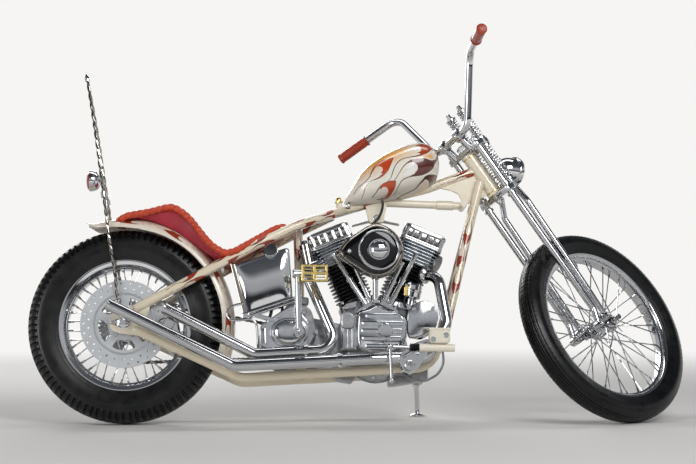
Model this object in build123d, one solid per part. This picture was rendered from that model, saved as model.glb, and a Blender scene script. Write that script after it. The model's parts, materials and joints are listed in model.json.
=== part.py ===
from build123d import *
import os
from math import asin, atan2, cos, hypot, pi, radians, sin, sqrt, tan

os.makedirs("parts", exist_ok=True)

# Rigid-frame custom motorcycle with a springer fork, parked on its side stand.
# Everything is drawn upright first, in millimetres: x forward from the rear axle,
# y to the rider's left, z up from the floor. The last part of the file turns the
# steering to its left stop and leans the machine onto its stand.

# Stance
wheelbase = 1630.0
rake_angle = 34.6
steer_rest_angle = 38.6
lean_angle = 9.0
axle_lead = 60.0

# Clearances
seat_gap = 0.3
bearing_gap = 0.05
running_gap = 5.0

# Rear tyre and wheel
rear_tyre_radius = 325.0
rear_tyre_half_width = 63.0
rear_rim_radius = 220.0
rear_rim_half_width = 52.0
rear_bead_radius = 206.0
rear_axle_radius = 10.0
rear_hub_radius = 27.0
rear_flange_radius = 46.0
rear_hub_half_width = 72.0

# Front tyre and wheel
front_tyre_radius = 350.0
front_tyre_half_width = 43.0
front_rim_radius = 280.0
front_rim_half_width = 30.0
front_bead_radius = 268.0
front_axle_radius = 8.0
front_hub_radius = 20.0
front_flange_radius = 34.0
front_hub_half_width = 46.0

spoke_count = 40
spoke_radius = 2.6
ring_steps = 48
rim_wall = 4.0

# Brake disc, sprockets and chain
disc_radius = 146.0
disc_inner_radius = 96.0
disc_thickness = 6.0
disc_carrier_radius = 40.0
disc_face_y = -76.0
sprocket_radius = 104.0
sprocket_thickness = 7.0
sprocket_y = 81.0
gearbox_sprocket_radius = 40.0
chain_height = 15.0
chain_width = 14.0
chain_gap = 6.0

# Frame
frame_tube_radius = 16.0
tube_sides = 12
tube_chord_angle = 18.0
lower_top_tube_radius = 13.0
stay_half_span = 112.0
rail_half_span = 100.0
axle_plate_thickness = 10.0
axle_plate_length = 96.0
axle_plate_height = 62.0
neck_radius = 27.0
neck_low = 582.0
neck_high = 746.0
stem_radius = 13.0

# Rear fender and the frame's cross tubes that carry it
fender_crown_radius = 366.0
fender_edge_radius = 324.0
fender_half_width = 72.0
fender_wall = 3.0
fender_front_angle = -23.0
fender_rear_angle = 107.0
flare_radius = 55.0
flare_angle = 32.0
fender_mount_low = -22.0
fender_mount_high = 33.0
cross_tube_radius = 10.0

# Fork
fork_leg_radius = 12.5
fork_leg_half_span = 64.0
rigid_leg_offset = -2.0
sprung_leg_offset = 44.0
spring_offset = 72.0
spring_half_span = 30.0
spring_rod_radius = 6.0
spring_coil_radius = 19.0
tree_thickness = 22.0

# Handlebar
bar_radius = 13.0
grip_radius = 17.0
bar_bend_radius = 55.0

# Engine
crank_x = 838.0
crank_z = 250.0
cylinder_angle = 22.5
crankcase_radius = 106.0
crankcase_half_width = 72.0
barrel_base = 176.0
barrel_top = 318.0
head_top = 388.0
rocker_top = 440.0
top_mount_half_width = 12.0

# Seat
seat_half_width = 118.0
seat_rear_half_width = 72.0

nodes = {}


def add(name, body, shape):
    """Keep one sub-part under its node name and the body that it moves with."""
    nodes[name] = (body, shape)
    return shape


def flat_skin(sections, closed=False, split=False):
    """A solid skinned with flat faces between outlines that have the same number of points."""
    count = len(sections[0])
    pairs = list(zip(sections[:-1], sections[1:]))
    outlines = []
    if closed:
        pairs.append((sections[-1], sections[0]))
    else:
        outlines.append(sections[0])
        outlines.append(sections[-1])
    for near, far in pairs:
        for index in range(count):
            after = (index + 1) % count
            if split:
                outlines.append([near[index], near[after], far[after]])
                outlines.append([near[index], far[after], far[index]])
            else:
                outlines.append([near[index], near[after], far[after], far[index]])
    faces = [Face(Wire.make_polygon([Vector(*point) for point in outline])) for outline in outlines]
    return Solid(Shell(faces))


def bent_path(points, bend):
    """Points along straight runs joined by tangent arcs that are taken in short chords."""
    corners = [Vector(*point) for point in points]
    path = [corners[0]]
    for before, corner, after in zip(corners[:-2], corners[1:-1], corners[2:]):
        incoming = (corner - before).normalized()
        outgoing = (after - corner).normalized()
        turn = incoming.get_angle(outgoing)
        arc_start = corner - incoming * (bend * tan(0.5 * radians(turn)))
        normal = incoming.cross(outgoing).normalized()
        centre = arc_start + normal.cross(incoming) * bend
        chords = max(1, round(turn / tube_chord_angle))
        for chord in range(chords + 1):
            spoke = (arc_start - centre).rotate(Axis((0, 0, 0), tuple(normal)), turn * chord / chords)
            path.append(centre + spoke)
    path.append(corners[-1])
    return path


def tube(points, radius, bend=60.0):
    """A bar or pipe of straight runs and bends, with flat sides and mitred steps."""
    path = bent_path(points, bend)
    runs = [(last - first).normalized() for first, last in zip(path[:-1], path[1:])]
    plane = Plane(origin=path[0], z_dir=runs[0])
    rim = radius / cos(0.5 * pi / tube_sides)
    swings = [2.0 * pi * (step + 0.5) / tube_sides for step in range(tube_sides)]
    outline = [plane.from_local_coords(Vector(rim * cos(swing), rim * sin(swing), 0.0)) for swing in swings]
    sections = [outline]
    for index in range(1, len(path)):
        run = runs[index - 1]
        facing = run if index == len(path) - 1 else (run + runs[index]).normalized()
        outline = [point + run * ((path[index] - point).dot(facing) / run.dot(facing)) for point in outline]
        sections.append(outline)
    return flat_skin([[tuple(point) for point in outline] for outline in sections])


def rod(start, end, radius, sides=tube_sides):
    """A straight bar between two points, round when sides is None."""
    first = Vector(*start)
    axis = Vector(*end) - first
    plane = Plane(origin=first, z_dir=axis)
    if sides is None:
        return extrude(plane * Circle(radius), axis.length)
    return extrude(plane * RegularPolygon(radius / cos(0.5 * pi / sides), sides), axis.length)


def prism(start, end, width, depth, x_dir):
    """A straight bar of rectangular section between two points."""
    first = Vector(*start)
    axis = Vector(*end) - first
    plane = Plane(origin=first, x_dir=x_dir, z_dir=axis)
    return extrude(plane * Rectangle(width, depth), axis.length)


def side_profile(points, y_from, y_to):
    """A polygon drawn in side view as (x, z) pairs and given thickness across the machine."""
    face = make_face(Polyline(*[(x, y_from, z) for x, z in points], close=True))
    return extrude(face, y_to - y_from, dir=(0, 1, 0))


def cross_cylinder(x, z, radius, y_from, y_to, sides=None):
    """A round piece whose axis runs across the machine, in flat sides when their number is given."""
    plane = Plane(origin=(x, y_from, z), x_dir=(1, 0, 0), z_dir=(0, 1, 0))
    section = Circle(radius) if sides is None else RegularPolygon(radius, sides)
    return extrude(plane * section, y_to - y_from)


def fork_point(ahead, y, along):
    """A point by its distance ahead of the steering axis, its side and its height along it."""
    rake = radians(rake_angle)
    x = steer_foot_x + ahead * cos(rake) - along * sin(rake)
    z = steer_foot_z + ahead * sin(rake) + along * cos(rake)
    return (x, y, z)


def wheel_ring(profile, centre_x, centre_z):
    """Turn a closed outline of (side, radius) pairs about a wheel's axis in flat steps."""
    sections = []
    for step in range(ring_steps):
        angle = 360.0 / ring_steps * step
        sections.append([wheel_point(angle, r, side, centre_x, centre_z) for side, r in profile])
    return flat_skin(sections, closed=True)


# The steering axis meets the straight-ahead front wheel's plane axle_lead behind the axle.
steer_foot_x = wheelbase - axle_lead * cos(radians(rake_angle))
steer_foot_z = front_tyre_radius - axle_lead * sin(radians(rake_angle))
rear_axle_z = rear_tyre_radius
front_axle_z = front_tyre_radius


def tyre_profile(radius, half_width, rim_half, bead):
    """Outline of a round tyre from bead to bead as (side, radius) pairs."""
    depth = radius - bead
    right = [
        (rim_half - 6.0, bead + seat_gap),
        (rim_half - 4.0, bead + 0.24 * depth),
        (half_width, radius - 0.42 * depth),
        (0.84 * half_width, radius - 0.16 * depth),
        (0.4 * half_width, radius - 0.01 * depth),
    ]
    left = [(-side, r) for side, r in reversed(right)]
    return right + left


def rim_profile(rim_radius, rim_half, bead):
    """Outline of a drop-centre rim as (side, radius) pairs."""
    outer = [
        (rim_half, rim_radius),
        (rim_half - rim_wall, rim_radius),
        (rim_half - rim_wall, bead),
        (-rim_half + rim_wall, bead),
        (-rim_half + rim_wall, rim_radius),
        (-rim_half, rim_radius),
        (-rim_half, bead - rim_wall),
        (-0.45 * rim_half, bead - 3.5 * rim_wall),
        (0.45 * rim_half, bead - 3.5 * rim_wall),
        (rim_half, bead - rim_wall),
    ]
    return outer


def laced_spokes(flange_radius, flange_side, rim_radius, rim_side, centre_x, centre_z):
    """Crossed tangential spokes from two hub flanges to the rim."""
    spokes = []
    quarter = spoke_count // 4
    lace_angle = 360.0 / quarter * 1.6
    for side in (-1, 1):
        for sense in (-1, 1):
            for step in range(quarter):
                rim_angle = 360.0 / quarter * (step + 0.25 * sense + 0.125 * side)
                hub_angle = rim_angle + sense * lace_angle
                start = wheel_point(hub_angle, flange_radius, side * flange_side, centre_x, centre_z)
                reach_side = side * (rim_side + 2.0 * sense)
                end = wheel_point(rim_angle, rim_radius, reach_side, centre_x, centre_z)
                start = (start[0], start[1] + 3.2 * sense, start[2])
                plane = Plane(origin=start, z_dir=Vector(*end) - Vector(*start))
                length = (Vector(*end) - Vector(*start)).length
                spokes.append(extrude(plane * RegularPolygon(spoke_radius, 4), length))
    return spokes


def wheel_point(angle, radius, side, centre_x, centre_z):
    """A point on a wheel by angle, radius and side."""
    return (centre_x + radius * cos(radians(angle)), side, centre_z + radius * sin(radians(angle)))


def spoked_wheel(centre_x, centre_z, rim_radius, rim_half, bead, hub_radius, flange_radius, hub_half, bore):
    """Rim, hub with two flanges and laced spokes as one welded-up wheel."""
    rim = wheel_ring(rim_profile(rim_radius, rim_half, bead), centre_x, centre_z)
    flange_side = hub_half - 12.0
    hub = cross_cylinder(centre_x, centre_z, hub_radius, -hub_half, hub_half)
    for side in (-1, 1):
        flange_from = side * flange_side - 6.0
        hub += cross_cylinder(centre_x, centre_z, flange_radius, flange_from, flange_from + 12.0, 24)
    well_radius = bead - 3.5 * rim_wall
    spokes = laced_spokes(flange_radius - 6.0, flange_side, well_radius + 2.0, 0.2 * rim_half,
                          centre_x, centre_z)
    wheel = rim + hub + spokes
    return wheel - cross_cylinder(centre_x, centre_z, bore, -hub_half - 1.0, hub_half + 1.0)


# Rear wheel
add("rear_tyre", "rear_wheel", wheel_ring(
    tyre_profile(rear_tyre_radius, rear_tyre_half_width, rear_rim_half_width, rear_bead_radius), 0.0, rear_axle_z))
add("rear_wheel_spoked", "rear_wheel", spoked_wheel(
    0.0, rear_axle_z, rear_rim_radius, rear_rim_half_width, rear_bead_radius, rear_hub_radius,
    rear_flange_radius, rear_hub_half_width, rear_axle_radius + bearing_gap))

# Front wheel
add("front_tyre", "front_wheel", wheel_ring(
    tyre_profile(front_tyre_radius, front_tyre_half_width, front_rim_half_width, front_bead_radius),
    wheelbase, front_axle_z))
add("front_wheel_spoked", "front_wheel", spoked_wheel(
    wheelbase, front_axle_z, front_rim_radius, front_rim_half_width, front_bead_radius, front_hub_radius,
    front_flange_radius, front_hub_half_width, front_axle_radius + bearing_gap))

# Brake disc on the right of the rear hub: ring, five arms and a centre
disc_arm_count = 5
disc_arm_width = 24.0
disc_hole_radius = 5.0
disc_hole_count = 30
disc_near = disc_face_y - disc_thickness
brake_disc = cross_cylinder(0.0, rear_axle_z, disc_radius, disc_near, disc_face_y, ring_steps)
brake_disc -= cross_cylinder(0.0, rear_axle_z, disc_inner_radius, disc_near - 1.0, disc_face_y + 1.0, ring_steps)
brake_disc += cross_cylinder(0.0, rear_axle_z, disc_carrier_radius, disc_near, -rear_hub_half_width, 24)
for arm in range(disc_arm_count):
    angle = 360.0 / disc_arm_count * arm + 18.0
    inner = wheel_point(angle, disc_carrier_radius - 8.0, 0.5 * (disc_near + disc_face_y), 0.0, rear_axle_z)
    outer = wheel_point(angle, disc_inner_radius + 5.0, 0.5 * (disc_near + disc_face_y), 0.0, rear_axle_z)
    brake_disc += prism(inner, outer, disc_thickness, disc_arm_width, (0, 1, 0))
brake_disc -= cross_cylinder(0.0, rear_axle_z, rear_axle_radius + bearing_gap, disc_near - 1.0, 0.0)
add("brake_disc", "rear_wheel", brake_disc)

# Rear sprocket on the left of the rear hub
sprocket = cross_cylinder(0.0, rear_axle_z, sprocket_radius, sprocket_y - 0.5 * sprocket_thickness,
                          sprocket_y + 0.5 * sprocket_thickness, ring_steps)
sprocket += cross_cylinder(0.0, rear_axle_z, disc_carrier_radius, rear_hub_half_width, sprocket_y, 24)
sprocket -= cross_cylinder(0.0, rear_axle_z, rear_axle_radius + bearing_gap, 0.0,
                           sprocket_y + sprocket_thickness)
add("rear_sprocket", "rear_wheel", sprocket)

# Frame: backbone with neck, twin cradles with rear stays and axle plates
neck_bottom = fork_point(0.0, 0.0, neck_low)
neck_top = fork_point(0.0, 0.0, neck_high)
neck = rod(neck_bottom, neck_top, neck_radius, None)
backbone_head = fork_point(0.0, 0.0, neck_high - 62.0)
backbone_path = [backbone_head, (1010.0, 0.0, 809.0), (845.0, 0.0, 766.0), (572.0, 0.0, 680.0)]
backbone = tube(backbone_path, frame_tube_radius, 260.0)
lower_tube = rod((850.0, 0.0, 758.0), fork_point(-10.0, 0.0, neck_low + 24.0), lower_top_tube_radius)
gusset = side_profile([
    (neck_bottom[0], neck_bottom[2] + 12.0), (backbone_head[0] - 60.0, backbone_head[2] - 24.0),
    (1075.0, 833.0), (1100.0, 790.0), (1122.0, 757.0)], -6.0, 6.0)
seat_post_foot = (590.0, 0.0, 168.0)
seat_post = rod((572.0, 0.0, 676.0), seat_post_foot, frame_tube_radius)
frame_backbone = neck + backbone + lower_tube + gusset + seat_post
frame_backbone += side_profile([(800.0, 756.0), (878.0, 764.0), (862.0, 682.0), (817.0, 680.0)],
                               -top_mount_half_width, top_mount_half_width)
frame_backbone += side_profile([(752.0, 672.0), (922.0, 680.0), (922.0, 690.0), (752.0, 682.0)],
                               -top_mount_half_width, top_mount_half_width)
frame_backbone += rod((578.0, -66.0, 664.0), (578.0, 66.0, 664.0), 12.0)
frame_backbone += rod((590.0, -rail_half_span + 12.0, 168.0), (590.0, rail_half_span - 12.0, 168.0), 12.0)
stem_bore = rod(fork_point(0.0, 0.0, neck_low - 1.0), fork_point(0.0, 0.0, neck_high + 1.0),
                stem_radius + bearing_gap, None)
frame_backbone -= stem_bore


def cradle(side):
    """One side of the frame: downtube, lower rail, rear stays and axle plate."""
    loop = [
        fork_point(-22.0, side * 15.0, neck_low + 64.0),
        fork_point(-150.0, side * 22.0, neck_low - 49.0),
        (1062.0, side * 88.0, 300.0),
        (1010.0, side * rail_half_span, 187.0),
        (386.0, side * rail_half_span, 148.0),
        (40.0, side * stay_half_span, 303.0),
    ]
    stay = [
        (690.0, side * 20.0, 714.0),
        (570.0, side * 78.0, 664.0),
        (430.0, side * rail_half_span, 592.0),
        (40.0, side * stay_half_span, 372.0),
    ]
    lower = tube(loop, frame_tube_radius, 80.0)
    upper = tube(stay, frame_tube_radius, 150.0)
    plate_y = side * stay_half_span - 0.5 * axle_plate_thickness
    plate = side_profile([
        (-42.0, rear_axle_z - 30.0), (70.0, rear_axle_z - 44.0), (84.0, rear_axle_z - 20.0),
        (84.0, rear_axle_z + 55.0), (66.0, rear_axle_z + 68.0), (-42.0, rear_axle_z + 24.0)],
        plate_y, plate_y + axle_plate_thickness)
    plate -= cross_cylinder(0.0, rear_axle_z, rear_axle_radius, plate_y - 1.0,
                            plate_y + axle_plate_thickness + 1.0)
    return lower + upper + plate


stand_pivot_x = 986.0
stand_pivot_z = 158.0
stand_boss_radius = 16.0
stand_boss_end = rail_half_span + frame_tube_radius + 4.0
stand_bracket_near = rail_half_span - 8.0
stand_bracket_thickness = 12.0
frame_backbone_solid = add("frame_backbone", "chassis", frame_backbone)
cradle_right = cradle(-1)
for cross_angle in (fender_mount_low, fender_mount_high):
    cross_reach = fender_crown_radius + cross_tube_radius + seat_gap
    cross_x, _, cross_z = wheel_point(cross_angle, cross_reach, 0.0, 0.0, rear_axle_z)
    cradle_right += rod((cross_x, -rail_half_span, cross_z), (cross_x, rail_half_span - 4.0, cross_z),
                        cross_tube_radius)
add("frame_cradle_right", "chassis", cradle_right - frame_backbone_solid)
stand_boss = cross_cylinder(stand_pivot_x, stand_pivot_z, stand_boss_radius, stand_bracket_near, stand_boss_end)
stand_boss += side_profile([
    (stand_pivot_x - 24.0, stand_pivot_z + 28.0), (stand_pivot_x + 24.0, stand_pivot_z + 32.0),
    (stand_pivot_x + stand_boss_radius, stand_pivot_z), (stand_pivot_x - stand_boss_radius, stand_pivot_z)],
    stand_bracket_near, stand_bracket_near + stand_bracket_thickness)
cradle_left = cradle(1) + stand_boss - frame_backbone_solid - nodes["frame_cradle_right"][1]
add("frame_cradle_left", "chassis", cradle_left)

# Rear axle with its spacers and nuts
axle_end = stay_half_span + 24.0
spacer_outer = stay_half_span - 0.5 * axle_plate_thickness
rear_axle = cross_cylinder(0.0, rear_axle_z, rear_axle_radius, -axle_end, axle_end)
for side in (-1, 1):
    nut_near = stay_half_span + 0.5 * axle_plate_thickness
    plane = Plane(origin=(0.0, side * nut_near, rear_axle_z), x_dir=(1, 0, 0), z_dir=(0, side, 0))
    rear_axle += extrude(plane * RegularPolygon(19.0, 6), 14.0)
    inner = 88.0 if side > 0 else -disc_near + 3.0
    low, high = sorted((side * inner, side * spacer_outer))
    rear_axle += cross_cylinder(0.0, rear_axle_z, 17.0, low, high, 12)
add("rear_axle", "chassis", rear_axle)

# Rear fender: crowned strip round the tyre with a flared tail


fender_steps = 22
flare_steps = 5
fender_arc_steps = 6
fender_rise = fender_crown_radius - fender_edge_radius


def fender_outline():
    """Crowned cross-section of the fender as (side, radius) pairs, outside then inside."""
    outside = []
    inside = []
    for step in range(fender_arc_steps + 1):
        swing = pi * (step / fender_arc_steps - 0.5)
        outside.append((fender_half_width * sin(swing), fender_edge_radius + fender_rise * cos(swing)))
        inside.append(((fender_half_width - fender_wall) * sin(swing),
                       fender_edge_radius + (fender_rise - fender_wall) * cos(swing)))
    return outside + inside[::-1]


flare_reach = fender_crown_radius + flare_radius
flare_centre = wheel_point(fender_rear_angle, flare_reach, 0.0, 0.0, rear_axle_z)
fender_sections = []
for step in range(fender_steps + 1):
    angle = fender_front_angle + (fender_rear_angle - fender_front_angle) * step / fender_steps
    fender_sections.append([wheel_point(angle, r, side, 0.0, rear_axle_z) for side, r in fender_outline()])
for step in range(1, flare_steps + 1):
    angle = fender_rear_angle + 180.0 - flare_angle * step / flare_steps
    fender_sections.append([wheel_point(angle, flare_reach - r, side, flare_centre[0], flare_centre[2])
                            for side, r in fender_outline()])
rear_fender = flat_skin(fender_sections)
add("rear_fender", "chassis", rear_fender)

# Fuel tank: teardrop over the backbone
tank_sections = [
    # x, centre z, half height, half width
    (735.0, 772.0, 22.0, 26.0),
    (775.0, 802.0, 54.0, 66.0),
    (845.0, 836.0, 80.0, 98.0),
    (915.0, 861.0, 90.0, 113.0),
    (975.0, 878.0, 87.0, 112.0),
    (1020.0, 885.0, 64.0, 84.0),
    (1041.0, 888.0, 30.0, 40.0),
]
tank_steps = 24
tank_rings = []
for x, z, half_height, half_width in tank_sections:
    swings = [2.0 * pi * step / tank_steps for step in range(tank_steps)]
    tank_rings.append([(x, half_width * cos(swing), z + half_height * sin(swing)) for swing in swings])
fuel_tank = flat_skin(tank_rings, split=True)
tunnel_gap = seat_gap
tunnel = tube(backbone_path, frame_tube_radius + tunnel_gap, 260.0)
tunnel_slot = side_profile([(700.0, 600.0), (1060.0, 600.0), (1060.0, 829.0), (1010.0, 809.0),
                            (845.0, 766.0), (700.0, 720.0)], -frame_tube_radius - tunnel_gap,
                           frame_tube_radius + tunnel_gap)
fuel_tank = fuel_tank - tunnel - tunnel_slot
add("fuel_tank", "chassis", fuel_tank)

# Seat: raised rear pad on the fender swooping down to the rider's dish
rear_pad_outline = [
    (-40.0, 704.0), (60.0, 720.0), (145.0, 735.0), (176.0, 726.0), (232.0, 664.0), (232.0, 600.0),
    (-40.0, 600.0),
]
dish_outline = [
    (224.0, 676.0), (262.0, 625.0), (322.0, 586.0), (380.0, 600.0), (470.0, 654.0), (520.0, 686.0),
    (548.0, 696.0), (552.0, 684.0), (470.0, 636.0), (380.0, 585.0), (322.0, 553.0), (224.0, 562.0),
]
seat = side_profile(rear_pad_outline, -seat_rear_half_width, seat_rear_half_width)
seat += side_profile(dish_outline, -seat_half_width, seat_half_width)
seat -= cross_cylinder(0.0, rear_axle_z, fender_crown_radius + seat_gap, -seat_half_width - 1.0,
                       seat_half_width + 1.0)
add("seat", "chassis", seat)

# Engine
crankcase = cross_cylinder(crank_x, crank_z, crankcase_radius, -crankcase_half_width, crankcase_half_width, 36)
deck_half_length = 135.0
deck_peak = barrel_base / cos(radians(cylinder_angle))
deck_end = deck_peak - deck_half_length * tan(radians(cylinder_angle))
deck = side_profile([(crank_x - 100.0, crank_z + 30.0), (crank_x - deck_half_length, crank_z + deck_end),
                     (crank_x, crank_z + deck_peak), (crank_x + deck_half_length, crank_z + deck_end),
                     (crank_x + 100.0, crank_z + 30.0), (crank_x, crank_z - 20.0)],
                    -crankcase_half_width + 6.0, crankcase_half_width - 6.0)
crankcase += deck
mount_reach = rail_half_span - 12.0
mount_inner = rail_half_span - 24.0
engine_feet = [
    # x from, x to, z from, z to, half span
    (690.0, 770.0, 178.0, 200.0, mount_reach),
    (920.0, 1000.0, 186.0, 206.0, mount_inner),
    (962.0, 1000.0, 186.0, 206.0, mount_reach),
]
for foot_from, foot_to, foot_low, foot_high, foot_span in engine_feet:
    crankcase += side_profile([(foot_from, foot_low), (foot_to, foot_low), (foot_to, foot_high),
                               (foot_from, foot_high)], -foot_span, foot_span)
for label in ("right", "left"):
    crankcase -= nodes["frame_cradle_" + label][1]


def cylinder_plane(sense, distance):
    """Plane across one cylinder's axis at a distance from the crankshaft; sense -1 is the rear one."""
    angle = radians(cylinder_angle)
    axis = Vector(sense * sin(angle), 0, cos(angle))
    return Plane(origin=Vector(crank_x, 0, crank_z) + axis * distance, x_dir=(0, 1, 0), z_dir=axis)


def cut_rectangle(width, depth, corner):
    """Rectangle with its corners cut off."""
    half_w = 0.5 * width
    half_d = 0.5 * depth
    return make_face(Polyline(
        (-half_w + corner, -half_d), (half_w - corner, -half_d), (half_w, -half_d + corner),
        (half_w, half_d - corner), (half_w - corner, half_d), (-half_w + corner, half_d),
        (-half_w, half_d - corner), (-half_w, -half_d + corner), close=True))


barrel_fin_count = 8
head_fin_count = 5
fin_thickness = 5.0
barrel_width = 132.0
barrel_depth = 124.0
head_width = 150.0
head_depth = 134.0
rocker_width = 138.0
rocker_depth = 128.0
for sense, label in ((-1, "rear"), (1, "front")):
    core = extrude(cylinder_plane(sense, barrel_base) * cut_rectangle(98.0, 98.0, 28.0), head_top - barrel_base)
    barrel_pitch = (barrel_top - barrel_base) / barrel_fin_count
    for fin in range(barrel_fin_count):
        core += extrude(cylinder_plane(sense, barrel_base + barrel_pitch * (fin + 0.6))
                        * cut_rectangle(barrel_width, barrel_depth, 34.0), fin_thickness)
    head_pitch = (head_top - barrel_top) / head_fin_count
    for fin in range(head_fin_count):
        core += extrude(cylinder_plane(sense, barrel_top + head_pitch * (fin + 0.55))
                        * cut_rectangle(head_width, head_depth, 30.0), fin_thickness)
    add("cylinder_" + label, "chassis", core)
    rocker = extrude(cylinder_plane(sense, head_top) * cut_rectangle(rocker_width, rocker_depth, 24.0),
                     rocker_top - head_top)
    add("rocker_box_" + label, "chassis", rocker)
cylinders = [nodes["cylinder_rear"][1], nodes["cylinder_front"][1]]
add("crankcase", "chassis", crankcase)

# Timing side of the engine
cam_cover_depth = 62.0
cam_face = -crankcase_half_width - cam_cover_depth
cam_cover = side_profile([
    (crank_x - 72.0, crank_z - 14.0), (crank_x + 92.0, crank_z - 12.0), (crank_x + 92.0, crank_z + 116.0),
    (crank_x, crank_z + 150.0), (crank_x - 72.0, crank_z + 116.0)], cam_face, -crankcase_half_width)
add("cam_cover", "chassis", cam_cover)
generator_x = crank_x + 152.0
generator_z = crank_z + 96.0
generator_radius = 50.0
generator = cross_cylinder(generator_x, generator_z, generator_radius, cam_face + 4.0, 60.0, 24)
generator = generator - crankcase - cam_cover
add("generator", "chassis", generator)
timer = cross_cylinder(crank_x + 118.0, crank_z + 196.0, 30.0, -112.0, -76.0, 20)
timer += rod((crank_x + 112.0, -94.0, crank_z + 170.0), (crank_x + 92.0, -94.0, crank_z + 110.0), 14.0)
timer = timer - crankcase - cam_cover - generator
add("timer", "chassis", timer)

pushrod_lines = [
    # foot x, foot z, head x, head z
    (796.0, 398.0, 690.0, 566.0),
    (814.0, 408.0, 754.0, 540.0),
    (862.0, 412.0, 922.0, 540.0),
    (882.0, 400.0, 968.0, 566.0),
]
pushrod_y = -92.0
pushrod_radius = 8.5
pushrods = None
for foot_x, foot_z, head_x, head_z in pushrod_lines:
    line = rod((foot_x, pushrod_y, foot_z - 20.0), (head_x, pushrod_y, head_z), pushrod_radius)
    pushrods = line if pushrods is None else pushrods + line
tappet_block = side_profile([(784.0, 352.0), (894.0, 352.0), (894.0, 392.0), (838.0, 420.0), (784.0, 392.0)],
                            pushrod_y - 16.0, -crankcase_half_width - seat_gap)
pushrods = pushrods + tappet_block - cam_cover
for cylinder in cylinders:
    pushrods -= cylinder
add("pushrod_tubes", "chassis", pushrods)

# Carburettor and teardrop air cleaner
carb_x = 838.0
carb_z = 560.0
carburettor = rod((carb_x, -138.0, carb_z), (carb_x, -20.0, carb_z), 30.0)
carburettor += rod((carb_x - 90.0, -28.0, carb_z + 8.0), (carb_x + 90.0, -28.0, carb_z + 8.0), 19.0)
for cylinder in cylinders:
    carburettor -= cylinder
carburettor = max(carburettor.solids(), key=lambda solid: solid.volume)
add("carburettor", "chassis", carburettor)
air_cleaner_outer = -176.0
air_cleaner_inner = -138.0
plate_front = cross_cylinder(848.0, 574.0, 84.0, air_cleaner_inner - 12.0, air_cleaner_inner, 36)
plate_tail = side_profile([(708.0, 573.0), (724.0, 552.0), (812.0, 498.0), (862.0, 580.0), (820.0, 652.0),
                           (724.0, 596.0)], air_cleaner_inner - 12.0, air_cleaner_inner)
air_cleaner = plate_front + plate_tail
air_cleaner += cross_cylinder(838.0, 580.0, 70.0, air_cleaner_outer, air_cleaner_inner, 30)
add("air_cleaner", "chassis", air_cleaner)

# Exhausts
pipe_radius = 19.0
pipe_bore = 17.0
tip_depth = 90.0
front_pipe_path = [
    (1000.0, -50.0, 505.0), (1042.0, -92.0, 490.0), (1066.0, -132.0, 330.0), (1000.0, -150.0, 216.0),
    (820.0, -166.0, 208.0), (366.0, -166.0, 181.0), (-48.0, -162.0, 380.0)]
rear_pipe_path = [
    (668.0, -24.0, 556.0), (594.0, -84.0, 512.0), (700.0, -140.0, 262.0), (650.0, -144.0, 236.0),
    (432.0, -149.0, 221.0), (134.0, -149.0, 370.0)]


def exhaust(path):
    """Header and tail pipe in one run with an open tip."""
    pipe = tube(path, pipe_radius, 50.0)
    tip = Vector(*path[-1])
    back = (Vector(*path[-2]) - tip).normalized()
    return pipe - rod(tuple(tip - back), tuple(tip + back * tip_depth), pipe_bore, None)


exhaust_front = exhaust(front_pipe_path)
exhaust_rear = exhaust(rear_pipe_path)
for cylinder in cylinders:
    exhaust_front -= cylinder
    exhaust_rear -= cylinder
add("exhaust_front", "chassis", exhaust_front)
add("exhaust_rear", "chassis", exhaust_rear)

# Gearbox, kick starter, primary drive and rear chain
gearbox = side_profile([(452.0, 212.0), (634.0, 212.0), (650.0, 250.0), (634.0, 330.0), (500.0, 340.0),
                        (448.0, 316.0)], -112.0, 60.0)
gearbox += cross_cylinder(534.0, 291.0, 44.0, -134.0, -112.0, 24)
gearbox += side_profile([(566.0, 170.0), (614.0, 170.0), (614.0, 220.0), (566.0, 220.0)], -60.0, 50.0)
gearbox -= frame_backbone_solid
add("gearbox", "chassis", gearbox)
kick_x = 576.0
kick_z = 290.0
kick = cross_cylinder(kick_x, kick_z, 13.0, -172.0, -134.0)
kick += rod((kick_x, -166.0, kick_z), (kick_x - 6.0, -166.0, 484.0), 8.0)
kick += prism((kick_x, -170.0, 484.0), (kick_x, -182.0, 484.0), 16.0, 16.0, (1, 0, 0))
kick_pedal = side_profile([(582.0, 456.0), (668.0, 456.0), (668.0, 512.0), (582.0, 512.0)], -206.0, -182.0)
for window_x in (590.0, 629.0):
    for window_z in (464.0, 490.0):
        kick_pedal -= side_profile([(window_x, window_z), (window_x + 31.0, window_z),
                                    (window_x + 31.0, window_z + 15.0), (window_x, window_z + 15.0)],
                                   -207.0, -181.0)
kick = kick + kick_pedal + prism((560.0, -188.0, 484.0), (590.0, -188.0, 484.0), 12.0, 12.0, (0, 1, 0))
add("kick_starter", "chassis", kick)

clutch_x = 545.0
clutch_z = 282.0
primary_front_radius = 78.0
primary_rear_radius = 104.0
primary_inner = 92.0
primary_outer = 150.0
primary = cross_cylinder(crank_x, crank_z, primary_front_radius, primary_inner, primary_outer, 30)
primary += cross_cylinder(clutch_x, clutch_z, primary_rear_radius, primary_inner, primary_outer, 36)
primary += side_profile([(crank_x, crank_z - primary_front_radius), (crank_x, crank_z + primary_front_radius),
                         (clutch_x, clutch_z + primary_rear_radius), (clutch_x, clutch_z - primary_rear_radius)],
                        primary_inner, primary_outer)
primary -= nodes["frame_cradle_left"][1]
add("primary_cover", "chassis", primary)


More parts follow.
